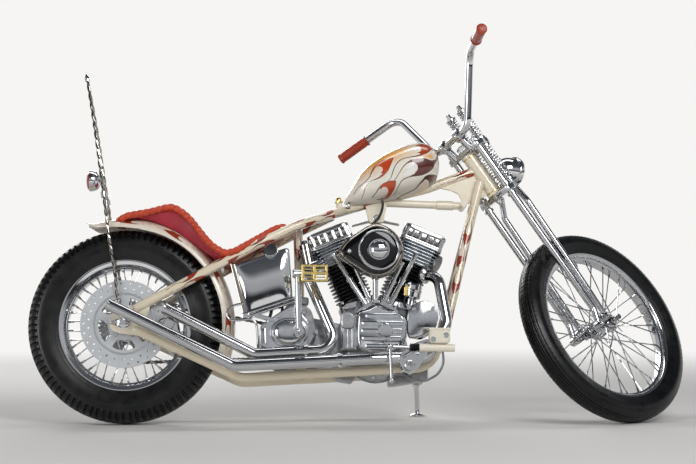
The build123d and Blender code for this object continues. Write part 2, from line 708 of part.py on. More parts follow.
def chain_loop(inner_offset, y_from, y_to):
    """Outline round the two sprockets at a distance outside their radii."""
    rear = sprocket_radius + inner_offset
    front = gearbox_sprocket_radius + inner_offset
    distance = hypot(clutch_x, clutch_z - rear_axle_z)
    tilt = atan2(clutch_z - rear_axle_z, clutch_x)
    slack = asin((rear - front) / distance)
    up = tilt + pi / 2 - slack
    down = tilt - pi / 2 + slack
    band = side_profile([
        (rear * cos(up), rear_axle_z + rear * sin(up)),
        (clutch_x + front * cos(up), clutch_z + front * sin(up)),
        (clutch_x + front * cos(down), clutch_z + front * sin(down)),
        (rear * cos(down), rear_axle_z + rear * sin(down))], y_from, y_to)
    band += cross_cylinder(0.0, rear_axle_z, rear, y_from, y_to, 36)
    band += cross_cylinder(clutch_x, clutch_z, front, y_from, y_to, 24)
    return band


chain_low = sprocket_y - 0.5 * chain_width
chain_high = sprocket_y + 0.5 * chain_width
chain = chain_loop(chain_gap + chain_height, chain_low, chain_high)
chain -= chain_loop(chain_gap, chain_low - 1.0, chain_high + 1.0)
chain += cross_cylinder(clutch_x, clutch_z, gearbox_sprocket_radius + chain_gap, sprocket_y - 4.0,
                        sprocket_y + 4.0)
chain += cross_cylinder(clutch_x, clutch_z, 20.0, 60.0, primary_inner)
add("drive_chain", "chassis", chain)

# Oil tank between the stays
oil_tank = side_profile([(366.0, 516.0), (540.0, 580.0), (552.0, 560.0), (552.0, 420.0), (410.0, 366.0),
                         (366.0, 480.0)], -106.0, 68.0)
for lug_z in (430.0, 530.0):
    oil_tank += side_profile([(540.0, lug_z), (574.0, lug_z), (574.0, lug_z + 14.0), (540.0, lug_z + 14.0)],
                             -12.0, 12.0)
oil_tank -= frame_backbone_solid
for label in ("right", "left"):
    oil_tank -= nodes["frame_cradle_" + label][1]
add("oil_tank", "chassis", oil_tank)

# Sissy bar and tail lamp
sissy_points = [
    # x, side, z
    (-24.0, 98.0, 342.0),
    (-31.0, 96.0, 470.0),
    (-56.0, 84.0, 605.0),
    (-78.0, 72.0, 742.0),
    (-118.0, 38.0, 985.0),
    (-156.0, 0.0, 1186.0),
]
sissy_radius = 6.5
sissy = None
for side in (-1, 1):
    bar = tube([(x, side * y, z) for x, y, z in sissy_points], sissy_radius, 120.0)
    bar += rod((-24.0, side * 98.0, 350.0), (-24.0, side * (stay_half_span - 4.0), 350.0), 8.0)
    sissy = bar if sissy is None else sissy + bar
for label in ("right", "left"):
    sissy -= nodes["frame_cradle_" + label][1]
sissy += rod((-96.0, -58.0, 822.0), (-96.0, 58.0, 822.0), 6.0)
add("sissy_bar", "chassis", sissy)
lamp = Pos(-132.0, 0.0, 822.0) * Box(34.0, 76.0, 46.0)
lamp += rod((-115.0, 0.0, 822.0), (-102.0, 0.0, 822.0), 8.0)
add("tail_lamp", "chassis", lamp)

# Brake caliper on the front of the disc
caliper_outer = 8.0
caliper_inner = 14.0
caliper = side_profile([(104.0, 262.0), (176.0, 262.0), (186.0, 306.0), (176.0, 352.0), (104.0, 352.0)],
                       disc_near - caliper_outer, disc_face_y + caliper_inner)
caliper -= cross_cylinder(0.0, rear_axle_z, disc_radius + running_gap, disc_near - 2.5, disc_face_y + 2.5)
caliper += side_profile([(40.0, 300.0), (150.0, 270.0), (150.0, 286.0), (60.0, 346.0)],
                        disc_near - caliper_outer, disc_near - 3.0)
caliper += cross_cylinder(62.0, 326.0, 9.0, -stay_half_span + 0.5 * axle_plate_thickness, disc_near - 3.0)
add("brake_caliper", "chassis", caliper)

# Right foot controls: peg, bracket, master cylinder and pedal
peg_x = 936.0
peg_z = 184.0
peg_radius = 15.0
peg_collar_radius = 17.0
peg_end = 226.0
peg_length_right = 42.0
peg_length_left = 30.0


def foot_peg(side, x, z, free_length):
    """Clamp on the lower rail with a collared round peg standing out from it."""
    low, high = sorted((side * (rail_half_span - 22.0), side * (rail_half_span + 22.0)))
    peg = cross_cylinder(x, z, 24.0, low, high)
    low, high = sorted((side * (rail_half_span + 22.0), side * (peg_end - free_length)))
    peg += cross_cylinder(x, z, peg_collar_radius, low, high)
    low, high = sorted((side * (peg_end - free_length), side * peg_end))
    return peg + cross_cylinder(x, z, peg_radius, low, high)


brake_control = foot_peg(-1, peg_x, peg_z, peg_length_right)
brake_control += side_profile([(906.0, 196.0), (966.0, 182.0), (1010.0, 262.0), (990.0, 272.0)],
                              -184.0, -176.0)
brake_control += rod((968.0, -192.0, 243.0), (1082.0, -192.0, 243.0), 13.0)
brake_control += Pos(1034.0, -192.0, 280.0) * Box(68.0, 44.0, 50.0)
brake_control += rod((877.0, -200.0, 132.0), (872.0, -200.0, 244.0), 5.5)
brake_control += rod((872.0, -209.0, 246.0), (872.0, -191.0, 246.0), 9.0)
brake_control += rod((872.0, -196.0, 243.0), (968.0, -192.0, 243.0), 4.5)
brake_control -= nodes["frame_cradle_right"][1]
brake_control -= nodes["exhaust_front"][1]
brake_control -= nodes["exhaust_rear"][1]
add("brake_control", "chassis", brake_control)

clutch_peg_x = 930.0
clutch_control = foot_peg(1, clutch_peg_x, peg_z - 3.0, peg_length_left)
clutch_control += rod((clutch_peg_x, 190.0, peg_z - 3.0), (1010.0, 190.0, 280.0), 6.0)
clutch_control += rod((1010.0, 180.0, 280.0), (1010.0, 240.0, 280.0), 14.0)
clutch_control -= nodes["frame_cradle_left"][1]
add("clutch_control", "chassis", clutch_control)

# Fork: rigid rear legs with stem and crown
leg_top = 775.0
leg_foot = 28.0
rigid = None
for side in (-1, 1):
    leg = rod(fork_point(rigid_leg_offset, side * fork_leg_half_span, leg_foot),
              fork_point(rigid_leg_offset, side * fork_leg_half_span, leg_top), fork_leg_radius)
    rigid = leg if rigid is None else rigid + leg
crown_low = neck_low - tree_thickness - seat_gap
crown_face = [(-20.0, crown_low), (58.0, crown_low), (58.0, crown_low + tree_thickness),
              (-20.0, crown_low + tree_thickness)]
crown_points = [fork_point(ahead, 0, along)[::2] for ahead, along in crown_face]
rigid += side_profile(crown_points, -fork_leg_half_span - 10.0, fork_leg_half_span + 10.0)
rigid += rod(fork_point(0.0, 0.0, crown_low), fork_point(0.0, 0.0, leg_top), stem_radius, None)
add("fork_legs_rigid", "fork", rigid)

top_low = neck_high + seat_gap
top_face = [(-26.0, top_low), (92.0, top_low), (92.0, top_low + tree_thickness),
            (-26.0, top_low + tree_thickness)]
top_points = [fork_point(ahead, 0, along)[::2] for ahead, along in top_face]
top_tree = side_profile(top_points, -fork_leg_half_span - 16.0, fork_leg_half_span + 16.0)
bar_base_along = 815.0
bar_base_ahead = -32.0
for side in (-1, 1):
    top_tree += rod(fork_point(-14.0, side * 40.0, top_low + 10.0),
                    fork_point(bar_base_ahead, side * 40.0, bar_base_along), 15.0)
top_tree -= rigid
add("top_tree", "fork", top_tree)

sprung = None
bridge_along = 590.0
for side in (-1, 1):
    leg = tube([fork_point(30.0, side * fork_leg_half_span, 40.0),
                fork_point(sprung_leg_offset, side * fork_leg_half_span, 500.0),
                fork_point(spring_offset, side * spring_half_span, bridge_along)], fork_leg_radius - 1.5, 40.0)
    sprung = leg if sprung is None else sprung + leg
bridge_face = [(spring_offset - 22.0, bridge_along - 6.0), (spring_offset + 22.0, bridge_along - 6.0),
               (spring_offset + 22.0, bridge_along + 8.0), (spring_offset - 22.0, bridge_along + 8.0)]
bridge_points = [fork_point(ahead, 0, along)[::2] for ahead, along in bridge_face]
sprung += side_profile(bridge_points, -spring_half_span - 22.0, spring_half_span + 22.0)
sprung -= rigid
add("fork_legs_sprung", "fork", sprung)

springs = None
spring_coil_pitch = 18.0
fork_up = Vector(*fork_point(0, 0, 1)) - Vector(*fork_point(0, 0, 0))
lower_spring_low = bridge_along + 8.0
upper_spring_low = top_low + tree_thickness
upper_spring_high = 900.0
for side in (-1, 1):
    y = side * spring_half_span
    foot = Vector(*fork_point(spring_offset, y, lower_spring_low))
    plane = Plane(origin=foot, z_dir=fork_up)
    shaft = extrude(plane * RegularPolygon(spring_rod_radius, 6), upper_spring_high + 14.0 - lower_spring_low)
    springs = shaft if springs is None else springs + shaft
    for low, high in ((lower_spring_low, top_low), (upper_spring_low, upper_spring_high)):
        turns = int((high - low) / spring_coil_pitch)
        for turn in range(turns):
            along = low + (high - low) * (turn + 0.2) / turns
            plane = Plane(origin=fork_point(spring_offset, y, along), z_dir=fork_up)
            springs += extrude(plane * RegularPolygon(spring_coil_radius, 8), 0.5 * spring_coil_pitch)
springs -= top_tree
springs -= sprung
add("fork_springs", "fork", springs)

rockers = cross_cylinder(wheelbase, front_axle_z, front_axle_radius, -86.0, 86.0)
rocker_thickness = 10.0
for side in (-1, 1):
    low, high = sorted((side * (fork_leg_half_span - 14.0), side * (fork_leg_half_span - 4.0)))
    rear_pivot = fork_point(-30.0, 0.0, 14.0)
    mid_pivot = fork_point(30.0, 0.0, 26.0)
    rockers += side_profile([(rear_pivot[0], rear_pivot[2] + 14.0), (rear_pivot[0] - 10.0, rear_pivot[2] - 8.0),
                             (wheelbase, front_axle_z - 18.0), (wheelbase + 18.0, front_axle_z),
                             (wheelbase, front_axle_z + 20.0), (mid_pivot[0], mid_pivot[2] + 14.0)], low, high)
rockers -= rigid
rockers -= sprung
add("rockers", "fork", rockers)

# Handlebar and grips
bar_points = [
    # ahead of the steering axis, side, along it
    (-32.0, 92.0, 815.0),
    (62.0, 213.0, 1022.0),
    (-20.0, 324.0, 1022.0),
]
grip_end_point = (-89.0, 418.0, 1022.0)
bar_path = [fork_point(a, -y, s) for a, y, s in reversed(bar_points)]
bar_path += [fork_point(a, y, s) for a, y, s in bar_points]
handlebar = tube(bar_path, bar_radius, bar_bend_radius)
handlebar -= top_tree
add("handlebar", "fork", handlebar)
grips = None
for side in (-1, 1):
    start = fork_point(-20.0, side * 324.0, 1022.0)
    end = fork_point(grip_end_point[0], side * grip_end_point[1], grip_end_point[2])
    grip = rod(start, end, grip_radius)
    grips = grip if grips is None else grips + grip
grips -= handlebar
add("grips", "fork", grips)

# Headlamp
lamp_centre = fork_point(140.0, 0.0, 640.0)
lamp_radius = 54.0
lamp_outline = [
    # distance ahead of the lamp's centre, radius
    (-50.0, 12.0),
    (-40.0, 30.0),
    (-20.0, 44.0),
    (14.0, 50.0),
    (16.0, lamp_radius),
    (34.0, lamp_radius),
]
lamp_rings = []
for ahead, r in lamp_outline:
    swings = [2.0 * pi * step / tank_steps for step in range(tank_steps)]
    lamp_rings.append([(lamp_centre[0] + ahead, r * cos(swing), lamp_centre[2] + r * sin(swing))
                       for swing in swings])
headlamp = flat_skin(lamp_rings)
lamp_foot = fork_point(spring_offset + 22.0 + seat_gap, 0.0, bridge_along)
headlamp += rod(lamp_foot, (lamp_centre[0] - 10.0, 0.0, lamp_centre[2] - 20.0), 8.0)
headlamp -= sprung
headlamp -= springs
add("headlamp", "fork", headlamp)

# Parked pose: steering on its left stop, both tyres and the stand on the floor
steer_axis = Axis((steer_foot_x, 0, steer_foot_z),
                  (-sin(radians(rake_angle)), 0, cos(radians(rake_angle))))
x_axis = Axis((0, 0, 0), (1, 0, 0))
y_axis = Axis((0, 0, 0), (0, 1, 0))


def steer_vector(vector):
    """Turn a direction of the fork to the left stop."""
    return vector.rotate(Axis((0, 0, 0), steer_axis.direction), steer_rest_angle)


def lean_vector(vector, pitch):
    """Pitch the nose down and lean to the left about the rear axle's centre."""
    return vector.rotate(y_axis, pitch).rotate(x_axis, -lean_angle)


def lowest(profile, normal_z):
    """How far a turned outline reaches below the wheel's centre."""
    return max(r * sqrt(1.0 - normal_z ** 2) + abs(side * normal_z) for side, r in profile)


rear_outline = tyre_profile(rear_tyre_radius, rear_tyre_half_width, rear_rim_half_width, rear_bead_radius)
front_outline = tyre_profile(front_tyre_radius, front_tyre_half_width, front_rim_half_width, front_bead_radius)
rear_height = lowest(rear_outline, sin(radians(lean_angle)))
foot_point = Vector(steer_foot_x, 0, steer_foot_z)
rear_centre = Vector(0, 0, rear_axle_z)
front_centre = foot_point + steer_vector(Vector(wheelbase, 0, front_axle_z) - foot_point)


def front_clearance(pitch):
    """Height of the front tyre's lowest point above the floor at a pitch."""
    normal = lean_vector(steer_vector(Vector(0, 1, 0)), pitch)
    centre_z = rear_height + lean_vector(front_centre - rear_centre, pitch).Z
    return centre_z - lowest(front_outline, normal.Z)


pitch_low = -5.0
pitch_high = 5.0
for _ in range(60):
    pitch_mid = 0.5 * (pitch_low + pitch_high)
    if front_clearance(pitch_mid) > 0.0:
        pitch_low = pitch_mid
    else:
        pitch_high = pitch_mid
pitch_angle = 0.5 * (pitch_low + pitch_high)


def park(shape):
    """Move an upright chassis piece to the parked pose."""
    moved = shape.moved(Location((0, 0, -rear_axle_z)))
    moved = moved.rotate(y_axis, pitch_angle).rotate(x_axis, -lean_angle)
    return moved.moved(Location((0, 0, rear_height)))


def park_point(point):
    """Move an upright point to the parked pose."""
    return lean_vector(Vector(*point) - rear_centre, pitch_angle) + Vector(0, 0, rear_height)


parked = {}
for name, (body, shape) in nodes.items():
    if body in ("fork", "front_wheel"):
        shape = shape.rotate(steer_axis, steer_rest_angle)
    parked[name] = park(shape)

# Side stand, drawn where it stands on the floor
stand_hub_width = 20.0
stand_pivot = park_point((stand_pivot_x, stand_boss_end + seat_gap + 0.5 * stand_hub_width, stand_pivot_z))
stand_axis = lean_vector(Vector(0, 1, 0), pitch_angle)
stand_foot = Vector(stand_pivot.X + 14.0, stand_pivot.Y + 98.0, 0.0)
stand_leg_radius = 9.0
foot_radius = 24.0
foot_thickness = 6.0
side_stand = rod(tuple(stand_pivot), tuple(stand_foot + Vector(0, 0, 4.0)), stand_leg_radius)
side_stand += rod(tuple(stand_foot), tuple(stand_foot + Vector(0, 0, foot_thickness)), foot_radius)
side_stand -= Pos(stand_foot.X, stand_foot.Y, -20.0) * Box(200.0, 200.0, 40.0)
hub_half = stand_axis * (0.5 * stand_hub_width)
side_stand += rod(tuple(stand_pivot - hub_half), tuple(stand_pivot + hub_half), stand_boss_radius, None)
parked["side_stand"] = side_stand
nodes["side_stand"] = ("side_stand", side_stand)

boxes = [shape.bounding_box() for shape in parked.values()]
low_corner = Vector(min(box.min.X for box in boxes), min(box.min.Y for box in boxes), 0)
high_corner = Vector(max(box.max.X for box in boxes), max(box.max.Y for box in boxes), 0)
shift = (low_corner + high_corner) * -0.5
for name, shape in parked.items():
    export_step(shape.moved(Location(shift)), "parts/" + name + ".step")

row_points = {
    "pitch": pitch_angle,
    "size": high_corner - low_corner,
    "steer_point": park_point(fork_point(0, 0, neck_low)) + shift,
    "steer_axis": lean_vector(steer_axis.direction, pitch_angle),
    "rear_axle": park_point((0, 0, rear_axle_z)) + shift,
    "rear_axis": lean_vector(Vector(0, 1, 0), pitch_angle),
    "front_axle": park_point(tuple(front_centre)) + shift,
    "front_axis": lean_vector(steer_vector(Vector(0, 1, 0)), pitch_angle),
    "stand_pivot": stand_pivot + shift,
    "stand_foot": stand_foot + shift,
}
for label, value in row_points.items():
    print(label, value)
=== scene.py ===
"""Dresses the parked chopper: one class for each sub-assembly, one small class for each finish."""

import json
import logging
import math
from dataclasses import dataclass, field
from enum import Enum
from typing import Sequence

import bmesh
import bpy
import numpy as np
from mathutils import Matrix, Vector


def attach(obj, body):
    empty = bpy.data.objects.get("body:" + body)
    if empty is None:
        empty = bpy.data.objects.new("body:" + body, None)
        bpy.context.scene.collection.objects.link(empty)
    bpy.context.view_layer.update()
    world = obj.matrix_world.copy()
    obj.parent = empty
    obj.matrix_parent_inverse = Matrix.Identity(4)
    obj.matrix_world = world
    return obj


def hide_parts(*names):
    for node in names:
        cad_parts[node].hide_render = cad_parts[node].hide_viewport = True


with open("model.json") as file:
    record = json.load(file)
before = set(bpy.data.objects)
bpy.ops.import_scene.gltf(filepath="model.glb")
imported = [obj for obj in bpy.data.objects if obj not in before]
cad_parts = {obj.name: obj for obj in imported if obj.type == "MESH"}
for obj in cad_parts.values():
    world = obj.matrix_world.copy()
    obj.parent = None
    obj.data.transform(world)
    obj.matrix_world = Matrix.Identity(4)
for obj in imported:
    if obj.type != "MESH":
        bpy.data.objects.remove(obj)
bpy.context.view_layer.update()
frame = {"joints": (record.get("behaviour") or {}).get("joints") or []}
log = logging.getLogger("chopper")
Pair = tuple[float, float]
Triple = tuple[float, float, float]
MM = 0.001
AHEAD, BACK = (1, 0, 0), (-1, 0, 0)
LEFT, RIGHT = (0, 1, 0), (0, -1, 0)
UP, DOWN = (0, 0, 1), (0, 0, -1)
# Sockets of a colour mix node, which share their names with those of its other types.
MIX_SHARE, MIX_FIRST, MIX_SECOND, MIX_RESULT = 0, 6, 7, 2
# A noise rarely leaves this span of its 0 to 1.
PATTERN_SPAN = (0.3, 0.7)
# Distance in millimetres that is stored where a piece has no flame.
NO_FLAME = 1e3
# Half the width of a brushed edge of paint, in millimetres.
BRUSH_EDGE = 0.35
# Largest step along a bent tube's arc, in degrees.
ARC_STEP = 7.0
# Spacing of the rows of points along a painted tube and the number of points round it.
TUBE_SPACING, TUBE_SIDES = 3.4, 34


@dataclass(frozen=True)
class Stance:
    """How the upright drawing of the machine, in millimetres, is placed in the frame."""

    wheelbase: float = 1630.0
    rake: float = 34.6
    steer_rest: float = 38.6
    lean: float = 9.0
    axle_lead: float = 60.0
    rear_tyre_radius: float = 325.0
    front_tyre_radius: float = 350.0

    def joint(self, name: str) -> dict:
        """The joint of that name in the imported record."""
        return next(joint for joint in frame["joints"] if joint["name"] == name)

    def steering_foot(self) -> Vector:
        """Point on the steering axis from which the fork's heights are measured."""
        rake = math.radians(self.rake)
        return Vector((self.wheelbase - self.axle_lead * math.cos(rake), 0,
                       self.front_tyre_radius - self.axle_lead * math.sin(rake)))

    def chassis(self) -> Matrix:
        """Upright drawing in millimetres to the parked frame in metres."""
        axle = Vector(self.joint("rear_wheel_spin")["pos_m"])
        axis_x = self.joint("steering")["axis"][0]
        pitch = math.radians(self.rake) - math.asin(-axis_x)
        return (Matrix.Translation(axle) @ Matrix.Rotation(math.radians(-self.lean), 4, "X")
                @ Matrix.Rotation(pitch, 4, "Y") @ Matrix.Scale(MM, 4)
                @ Matrix.Translation((0, 0, -self.rear_tyre_radius)))

    def steered(self) -> Matrix:
        """Straight-ahead drawing of the front wheel to the parked frame with the steering on its stop."""
        foot = self.steering_foot()
        axis = Vector((-math.sin(math.radians(self.rake)), 0, math.cos(math.radians(self.rake))))
        turn = Matrix.Rotation(math.radians(self.steer_rest), 4, axis)
        return self.chassis() @ Matrix.Translation(foot) @ turn @ Matrix.Translation(-foot)

    def fork(self) -> Matrix:
        """Fork drawing (ahead of the steering axis, to the left, up along it) to the parked frame."""
        tip = Matrix.Rotation(math.radians(-self.rake), 4, "Y")
        return self.steered() @ Matrix.Translation(self.steering_foot()) @ tip


STANCE = Stance()
REAR_AXLE = (0, STANCE.rear_tyre_radius)
FRONT_AXLE = (STANCE.wheelbase, STANCE.front_tyre_radius)
CRANK = (838, 250)
CLUTCH = (545, 282)


def srgb(code: str) -> tuple[float, float, float, float]:
    """Linear colour of an sRGB hex code.

    Args:
        code: Six hex digits, without a hash.

    Returns:
        Red, green, blue and alpha for a colour socket.
    """
    channels = [int(code[place:place + 2], 16) / 255 for place in (0, 2, 4)]
    linear = [c / 12.92 if c <= 0.04045 else ((c + 0.055) / 1.055) ** 2.4 for c in channels]
    return (linear[0], linear[1], linear[2], 1)


def add_node(tree: bpy.types.NodeTree, kind: str, settings: dict | None = None,
             links: dict | None = None) -> bpy.types.Node:
    """Add one node with its settings and links.

    Args:
        tree: Node tree that gets the node.
        kind: Blender's name of the node's type.
        settings: Values by attribute name or input name; a number picks an input by its place.
        links: Output sockets by the input name or place that they feed.

    Returns:
        The new node.
    """
    node = tree.nodes.new(kind)
    for key, value in (settings or {}).items():
        if isinstance(key, int) or key in node.inputs:
            node.inputs[key].default_value = value
        else:
            setattr(node, key, value)
    for key, source in (links or {}).items():
        tree.links.new(source, node.inputs[key])
    return node


def set_inputs(node: bpy.types.Node, values: dict) -> None:
    """Set a node's unlinked inputs by name."""
    for name, value in values.items():
        node.inputs[name].default_value = value


def own_place(tree: bpy.types.NodeTree) -> bpy.types.NodeSocket:
    """The object's own coordinates, in metres."""
    return add_node(tree, "ShaderNodeTexCoord").outputs["Object"]


def remap(tree: bpy.types.NodeTree, source: bpy.types.NodeSocket, low: float, high: float, start: float = 0.0,
          end: float = 1.0) -> bpy.types.NodeSocket:
    """Map the span from low to high onto the one from start to end, clamped at both."""
    spans = {"From Min": low, "From Max": high, "To Min": start, "To Max": end}
    return add_node(tree, "ShaderNodeMapRange", spans, {"Value": source}).outputs["Result"]


def blend(tree: bpy.types.NodeTree, share: bpy.types.NodeSocket, first: object,
          second: object) -> bpy.types.NodeSocket:
    """Mix two colours, each given as a value or a socket, by a share."""
    settings: dict = {"data_type": "RGBA"}
    links: dict = {MIX_SHARE: share}
    for place, colour in ((MIX_FIRST, first), (MIX_SECOND, second)):
        (links if isinstance(colour, bpy.types.NodeSocket) else settings)[place] = colour
    return add_node(tree, "ShaderNodeMix", settings, links).outputs[MIX_RESULT]


class Finish:
    """Base of every finish: makes its Blender material once and keeps it."""

    made: dict[str, bpy.types.Material] = {}
    title = "finish"

    def material(self) -> bpy.types.Material:
        """The finish as a Blender material, made on first use."""
        if repr(self) in self.made:
            return self.made[repr(self)]
        shade = bpy.data.materials.new(self.title)
        shade.use_nodes = True
        tree = shade.node_tree
        tree.nodes.clear()
        shader = add_node(tree, "ShaderNodeBsdfPrincipled")
        add_node(tree, "ShaderNodeOutputMaterial", links={"Surface": shader.outputs[0]})
        self.fill(tree, shader)
        self.made[repr(self)] = shade
        return shade

    def fill(self, tree: bpy.types.NodeTree, shader: bpy.types.Node) -> None:
        """Set the shader's sockets and add the pattern's nodes."""
        raise NotImplementedError

    def grain(self, tree: bpy.types.NodeTree, size_mm: float, detail: float = 3.0) -> bpy.types.NodeSocket:
        """Noise in the object's own coordinates whose features are size_mm across."""
        settings = {"Scale": 1 / (size_mm * MM), "Detail": detail}
        return add_node(tree, "ShaderNodeTexNoise", settings, {"Vector": own_place(tree)}).outputs["Fac"]

    def spread(self, tree: bpy.types.NodeTree, source: bpy.types.NodeSocket, low: float,
               high: float) -> bpy.types.NodeSocket:
        """Map a pattern's usual span to the one from low to high."""
        return remap(tree, source, *PATTERN_SPAN, low, high)

    def tones(self, tree: bpy.types.NodeTree, shader: bpy.types.Node, share: bpy.types.NodeSocket, first: str,
              second: str) -> None:
        """Colour the shader between two sRGB codes by a share."""
        tree.links.new(blend(tree, share, srgb(first), srgb(second)), shader.inputs["Base Color"])

    def sheen(self, tree: bpy.types.NodeTree, shader: bpy.types.Node, source: bpy.types.NodeSocket,
              low: float, high: float) -> None:
        """Let a pattern vary the roughness from low to high."""
        tree.links.new(self.spread(tree, source, low, high), shader.inputs["Roughness"])

    def bump(self, tree: bpy.types.NodeTree, shader: bpy.types.Node, height: bpy.types.NodeSocket,
             depth_mm: float) -> None:
        """Let a pattern raise the surface by depth_mm."""
        settings = {"Strength": 1, "Distance": depth_mm * MM}
        node = add_node(tree, "ShaderNodeBump", settings, {"Height": height})
        tree.links.new(node.outputs["Normal"], shader.inputs["Normal"])


@dataclass(frozen=True)
class ShowChrome(Finish):
    """Chromium plate buffed to a mirror: the eye reads it by its sharp dark and pale reflections."""

    tint: str = "CFD0D2"
    rough_low: float = 0.035
    rough_high: float = 0.11
    smudge_mm: float = 45.0
    title = "show_chrome"

    def fill(self, tree: bpy.types.NodeTree, shader: bpy.types.Node) -> None:
        """Mirror metal with faint buffing haze."""
        set_inputs(shader, {"Metallic": 1, "Base Color": srgb(self.tint)})
        self.sheen(tree, shader, self.grain(tree, self.smudge_mm, 5), self.rough_low, self.rough_high)


@dataclass(frozen=True)
class CastMetal(Finish):
    """Aluminium as cast: a fine sandy skin that breaks the highlight up."""

    tint: str = "B9BABB"
    dark: str = "8D8E90"
    rough: float = 0.34
    stain_mm: float = 24.0
    sand_mm: float = 1.6
    depth_mm: float = 0.12
    title = "cast_metal"

    def fill(self, tree: bpy.types.NodeTree, shader: bpy.types.Node) -> None:
        """Sand-cast skin with duller stains."""
        set_inputs(shader, {"Metallic": 1})
        stain = self.grain(tree, self.stain_mm, 6)
        self.tones(tree, shader, self.spread(tree, stain, 0, 1), self.dark, self.tint)
        self.sheen(tree, shader, stain, self.rough + 0.08, self.rough - 0.06)
        self.bump(tree, shader, self.grain(tree, self.sand_mm, 2), self.depth_mm)


@dataclass(frozen=True)
class Enamel(Finish):
    """Stoved enamel over a casting, glossy and slightly uneven: black unless another tint is given."""

    tint: str = "0D0E10"
    dust: str = "23252A"
    rough: float = 0.30
    dust_mm: float = 9.0
    sand_mm: float = 1.8
    depth_mm: float = 0.08
    title = "barrel_enamel"

    def fill(self, tree: bpy.types.NodeTree, shader: bpy.types.Node) -> None:
        """Dielectric coat with the casting telegraphing through it."""
        dust = self.grain(tree, self.dust_mm, 5)
        self.tones(tree, shader, self.spread(tree, dust, 0, 0.7), self.tint, self.dust)
        self.sheen(tree, shader, dust, self.rough - 0.06, self.rough + 0.12)
        self.bump(tree, shader, self.grain(tree, self.sand_mm, 2), self.depth_mm)


@dataclass(frozen=True)
class BrushedSteel(Finish):
    """Ground steel: fine marks in its roughness and relief, and soft stains in its tone."""

    tint: str = "A9ABAD"
    dark: str = "6F7173"
    rough: float = 0.28
    stain: float = 0.75
    stain_mm: float = 30.0
    mark_mm: float = 3.0
    depth_mm: float = 0.004
    title = "ground_steel"

    def fill(self, tree: bpy.types.NodeTree, shader: bpy.types.Node) -> None:
        """Steel with grinding marks in its roughness and relief."""
        set_inputs(shader, {"Metallic": 1})
        marks = self.grain(tree, self.mark_mm, 2)
        stains = self.grain(tree, self.stain_mm, 4)
        self.tones(tree, shader, self.spread(tree, stains, self.stain, 1), self.dark, self.tint)
        self.sheen(tree, shader, marks, self.rough - 0.04, self.rough + 0.05)
        self.bump(tree, shader, marks, self.depth_mm)


@dataclass(frozen=True)
class TyreRubber(Finish):
    """Carbon-black rubber: deep grey, dressed to a soft sheen, with faint dust."""

    tint: str = "08090A"
    worn: str = "131314"
    rough: float = 0.3
    dust_mm: float = 35.0
    skin_mm: float = 0.9
    depth_mm: float = 0.05
    title = "tyre_rubber"

    def fill(self, tree: bpy.types.NodeTree, shader: bpy.types.Node) -> None:
        """Rubber with a fine moulded grain and faint dust."""
        set_inputs(shader, {"IOR": 1.42})
        dust = self.grain(tree, self.dust_mm, 6)
        self.tones(tree, shader, self.spread(tree, dust, 0, 1), self.tint, self.worn)
        self.sheen(tree, shader, dust, self.rough - 0.06, self.rough + 0.08)
        self.bump(tree, shader, self.grain(tree, self.skin_mm, 2), self.depth_mm)


@dataclass(frozen=True)
class Hide(Finish):
    """Tanned cowhide: pebbled grain of about 2 mm, with painted shade that darkens its creases."""

    tint: str = "A3162A"
    # deep is the painted shade colour of the creases.
    deep: str = "5E0A16"
    rough: float = 0.38
    pebble_mm: float = 2.6
    crease: float = 0.22
    blotch_mm: float = 38.0
    relief_mm: float = 0.35
    title = "cow_hide"

    def fill(self, tree: bpy.types.NodeTree, shader: bpy.types.Node) -> None:
        """Pebble relief, painted shade in the creases and a waxed sheen."""
        set_inputs(shader, {"IOR": 1.5, "Coat Weight": 0.15, "Coat Roughness": 0.3})
        cells = {"Scale": 1 / (self.pebble_mm * MM), "feature": "DISTANCE_TO_EDGE"}
        pebbles = add_node(tree, "ShaderNodeTexVoronoi", cells, {"Vector": own_place(tree)})
        height = remap(tree, pebbles.outputs[0], 0, self.crease)
        blotch = self.grain(tree, self.blotch_mm, 5)
        # Painted shade: the colour darkens into the creases between the pebbles, scaled by a random blotch of
        # darker tone.
        tone = add_node(tree, "ShaderNodeMath", {"operation": "MULTIPLY"},
                        {0: height, 1: self.spread(tree, blotch, 0.55, 1)})
        self.tones(tree, shader, tone.outputs[0], self.deep, self.tint)
        self.sheen(tree, shader, blotch, self.rough + 0.1, self.rough - 0.08)
        self.bump(tree, shader, height, self.relief_mm)


@dataclass(frozen=True)
class MouldedRubber(Finish):
    """Moulded rubber or vinyl, solid coloured, with a slightly greasy sheen."""

    tint: str = "6E1A14"
    deep: str = "3C0C0A"
    rough: float = 0.4
    blotch_mm: float = 14.0
    skin_mm: float = 1.2
    relief_mm: float = 0.06
    title = "moulded_rubber"

    def fill(self, tree: bpy.types.NodeTree, shader: bpy.types.Node) -> None:
        """Two close tones with a fine skin."""
        blotch = self.grain(tree, self.blotch_mm, 4)
        self.tones(tree, shader, self.spread(tree, blotch, 0, 1), self.deep, self.tint)
        self.sheen(tree, shader, blotch, self.rough - 0.02, self.rough + 0.04)
        if self.relief_mm:
            self.bump(tree, shader, self.grain(tree, self.skin_mm, 2), self.relief_mm)


@dataclass(frozen=True)
class FluteGlass(Finish):
    """Pressed headlamp glass: clear, with the flutes' edges catching the light."""

    tint: str = "F4F7F8"
    haze_mm: float = 12.0
    title = "fluted_glass"

    def fill(self, tree: bpy.types.NodeTree, shader: bpy.types.Node) -> None:
        """Clear glass with a little haze."""
        set_inputs(shader, {"Base Color": srgb(self.tint), "Transmission Weight": 0.85, "IOR": 1.5})
        self.sheen(tree, shader, self.grain(tree, self.haze_mm), 0.02, 0.1)


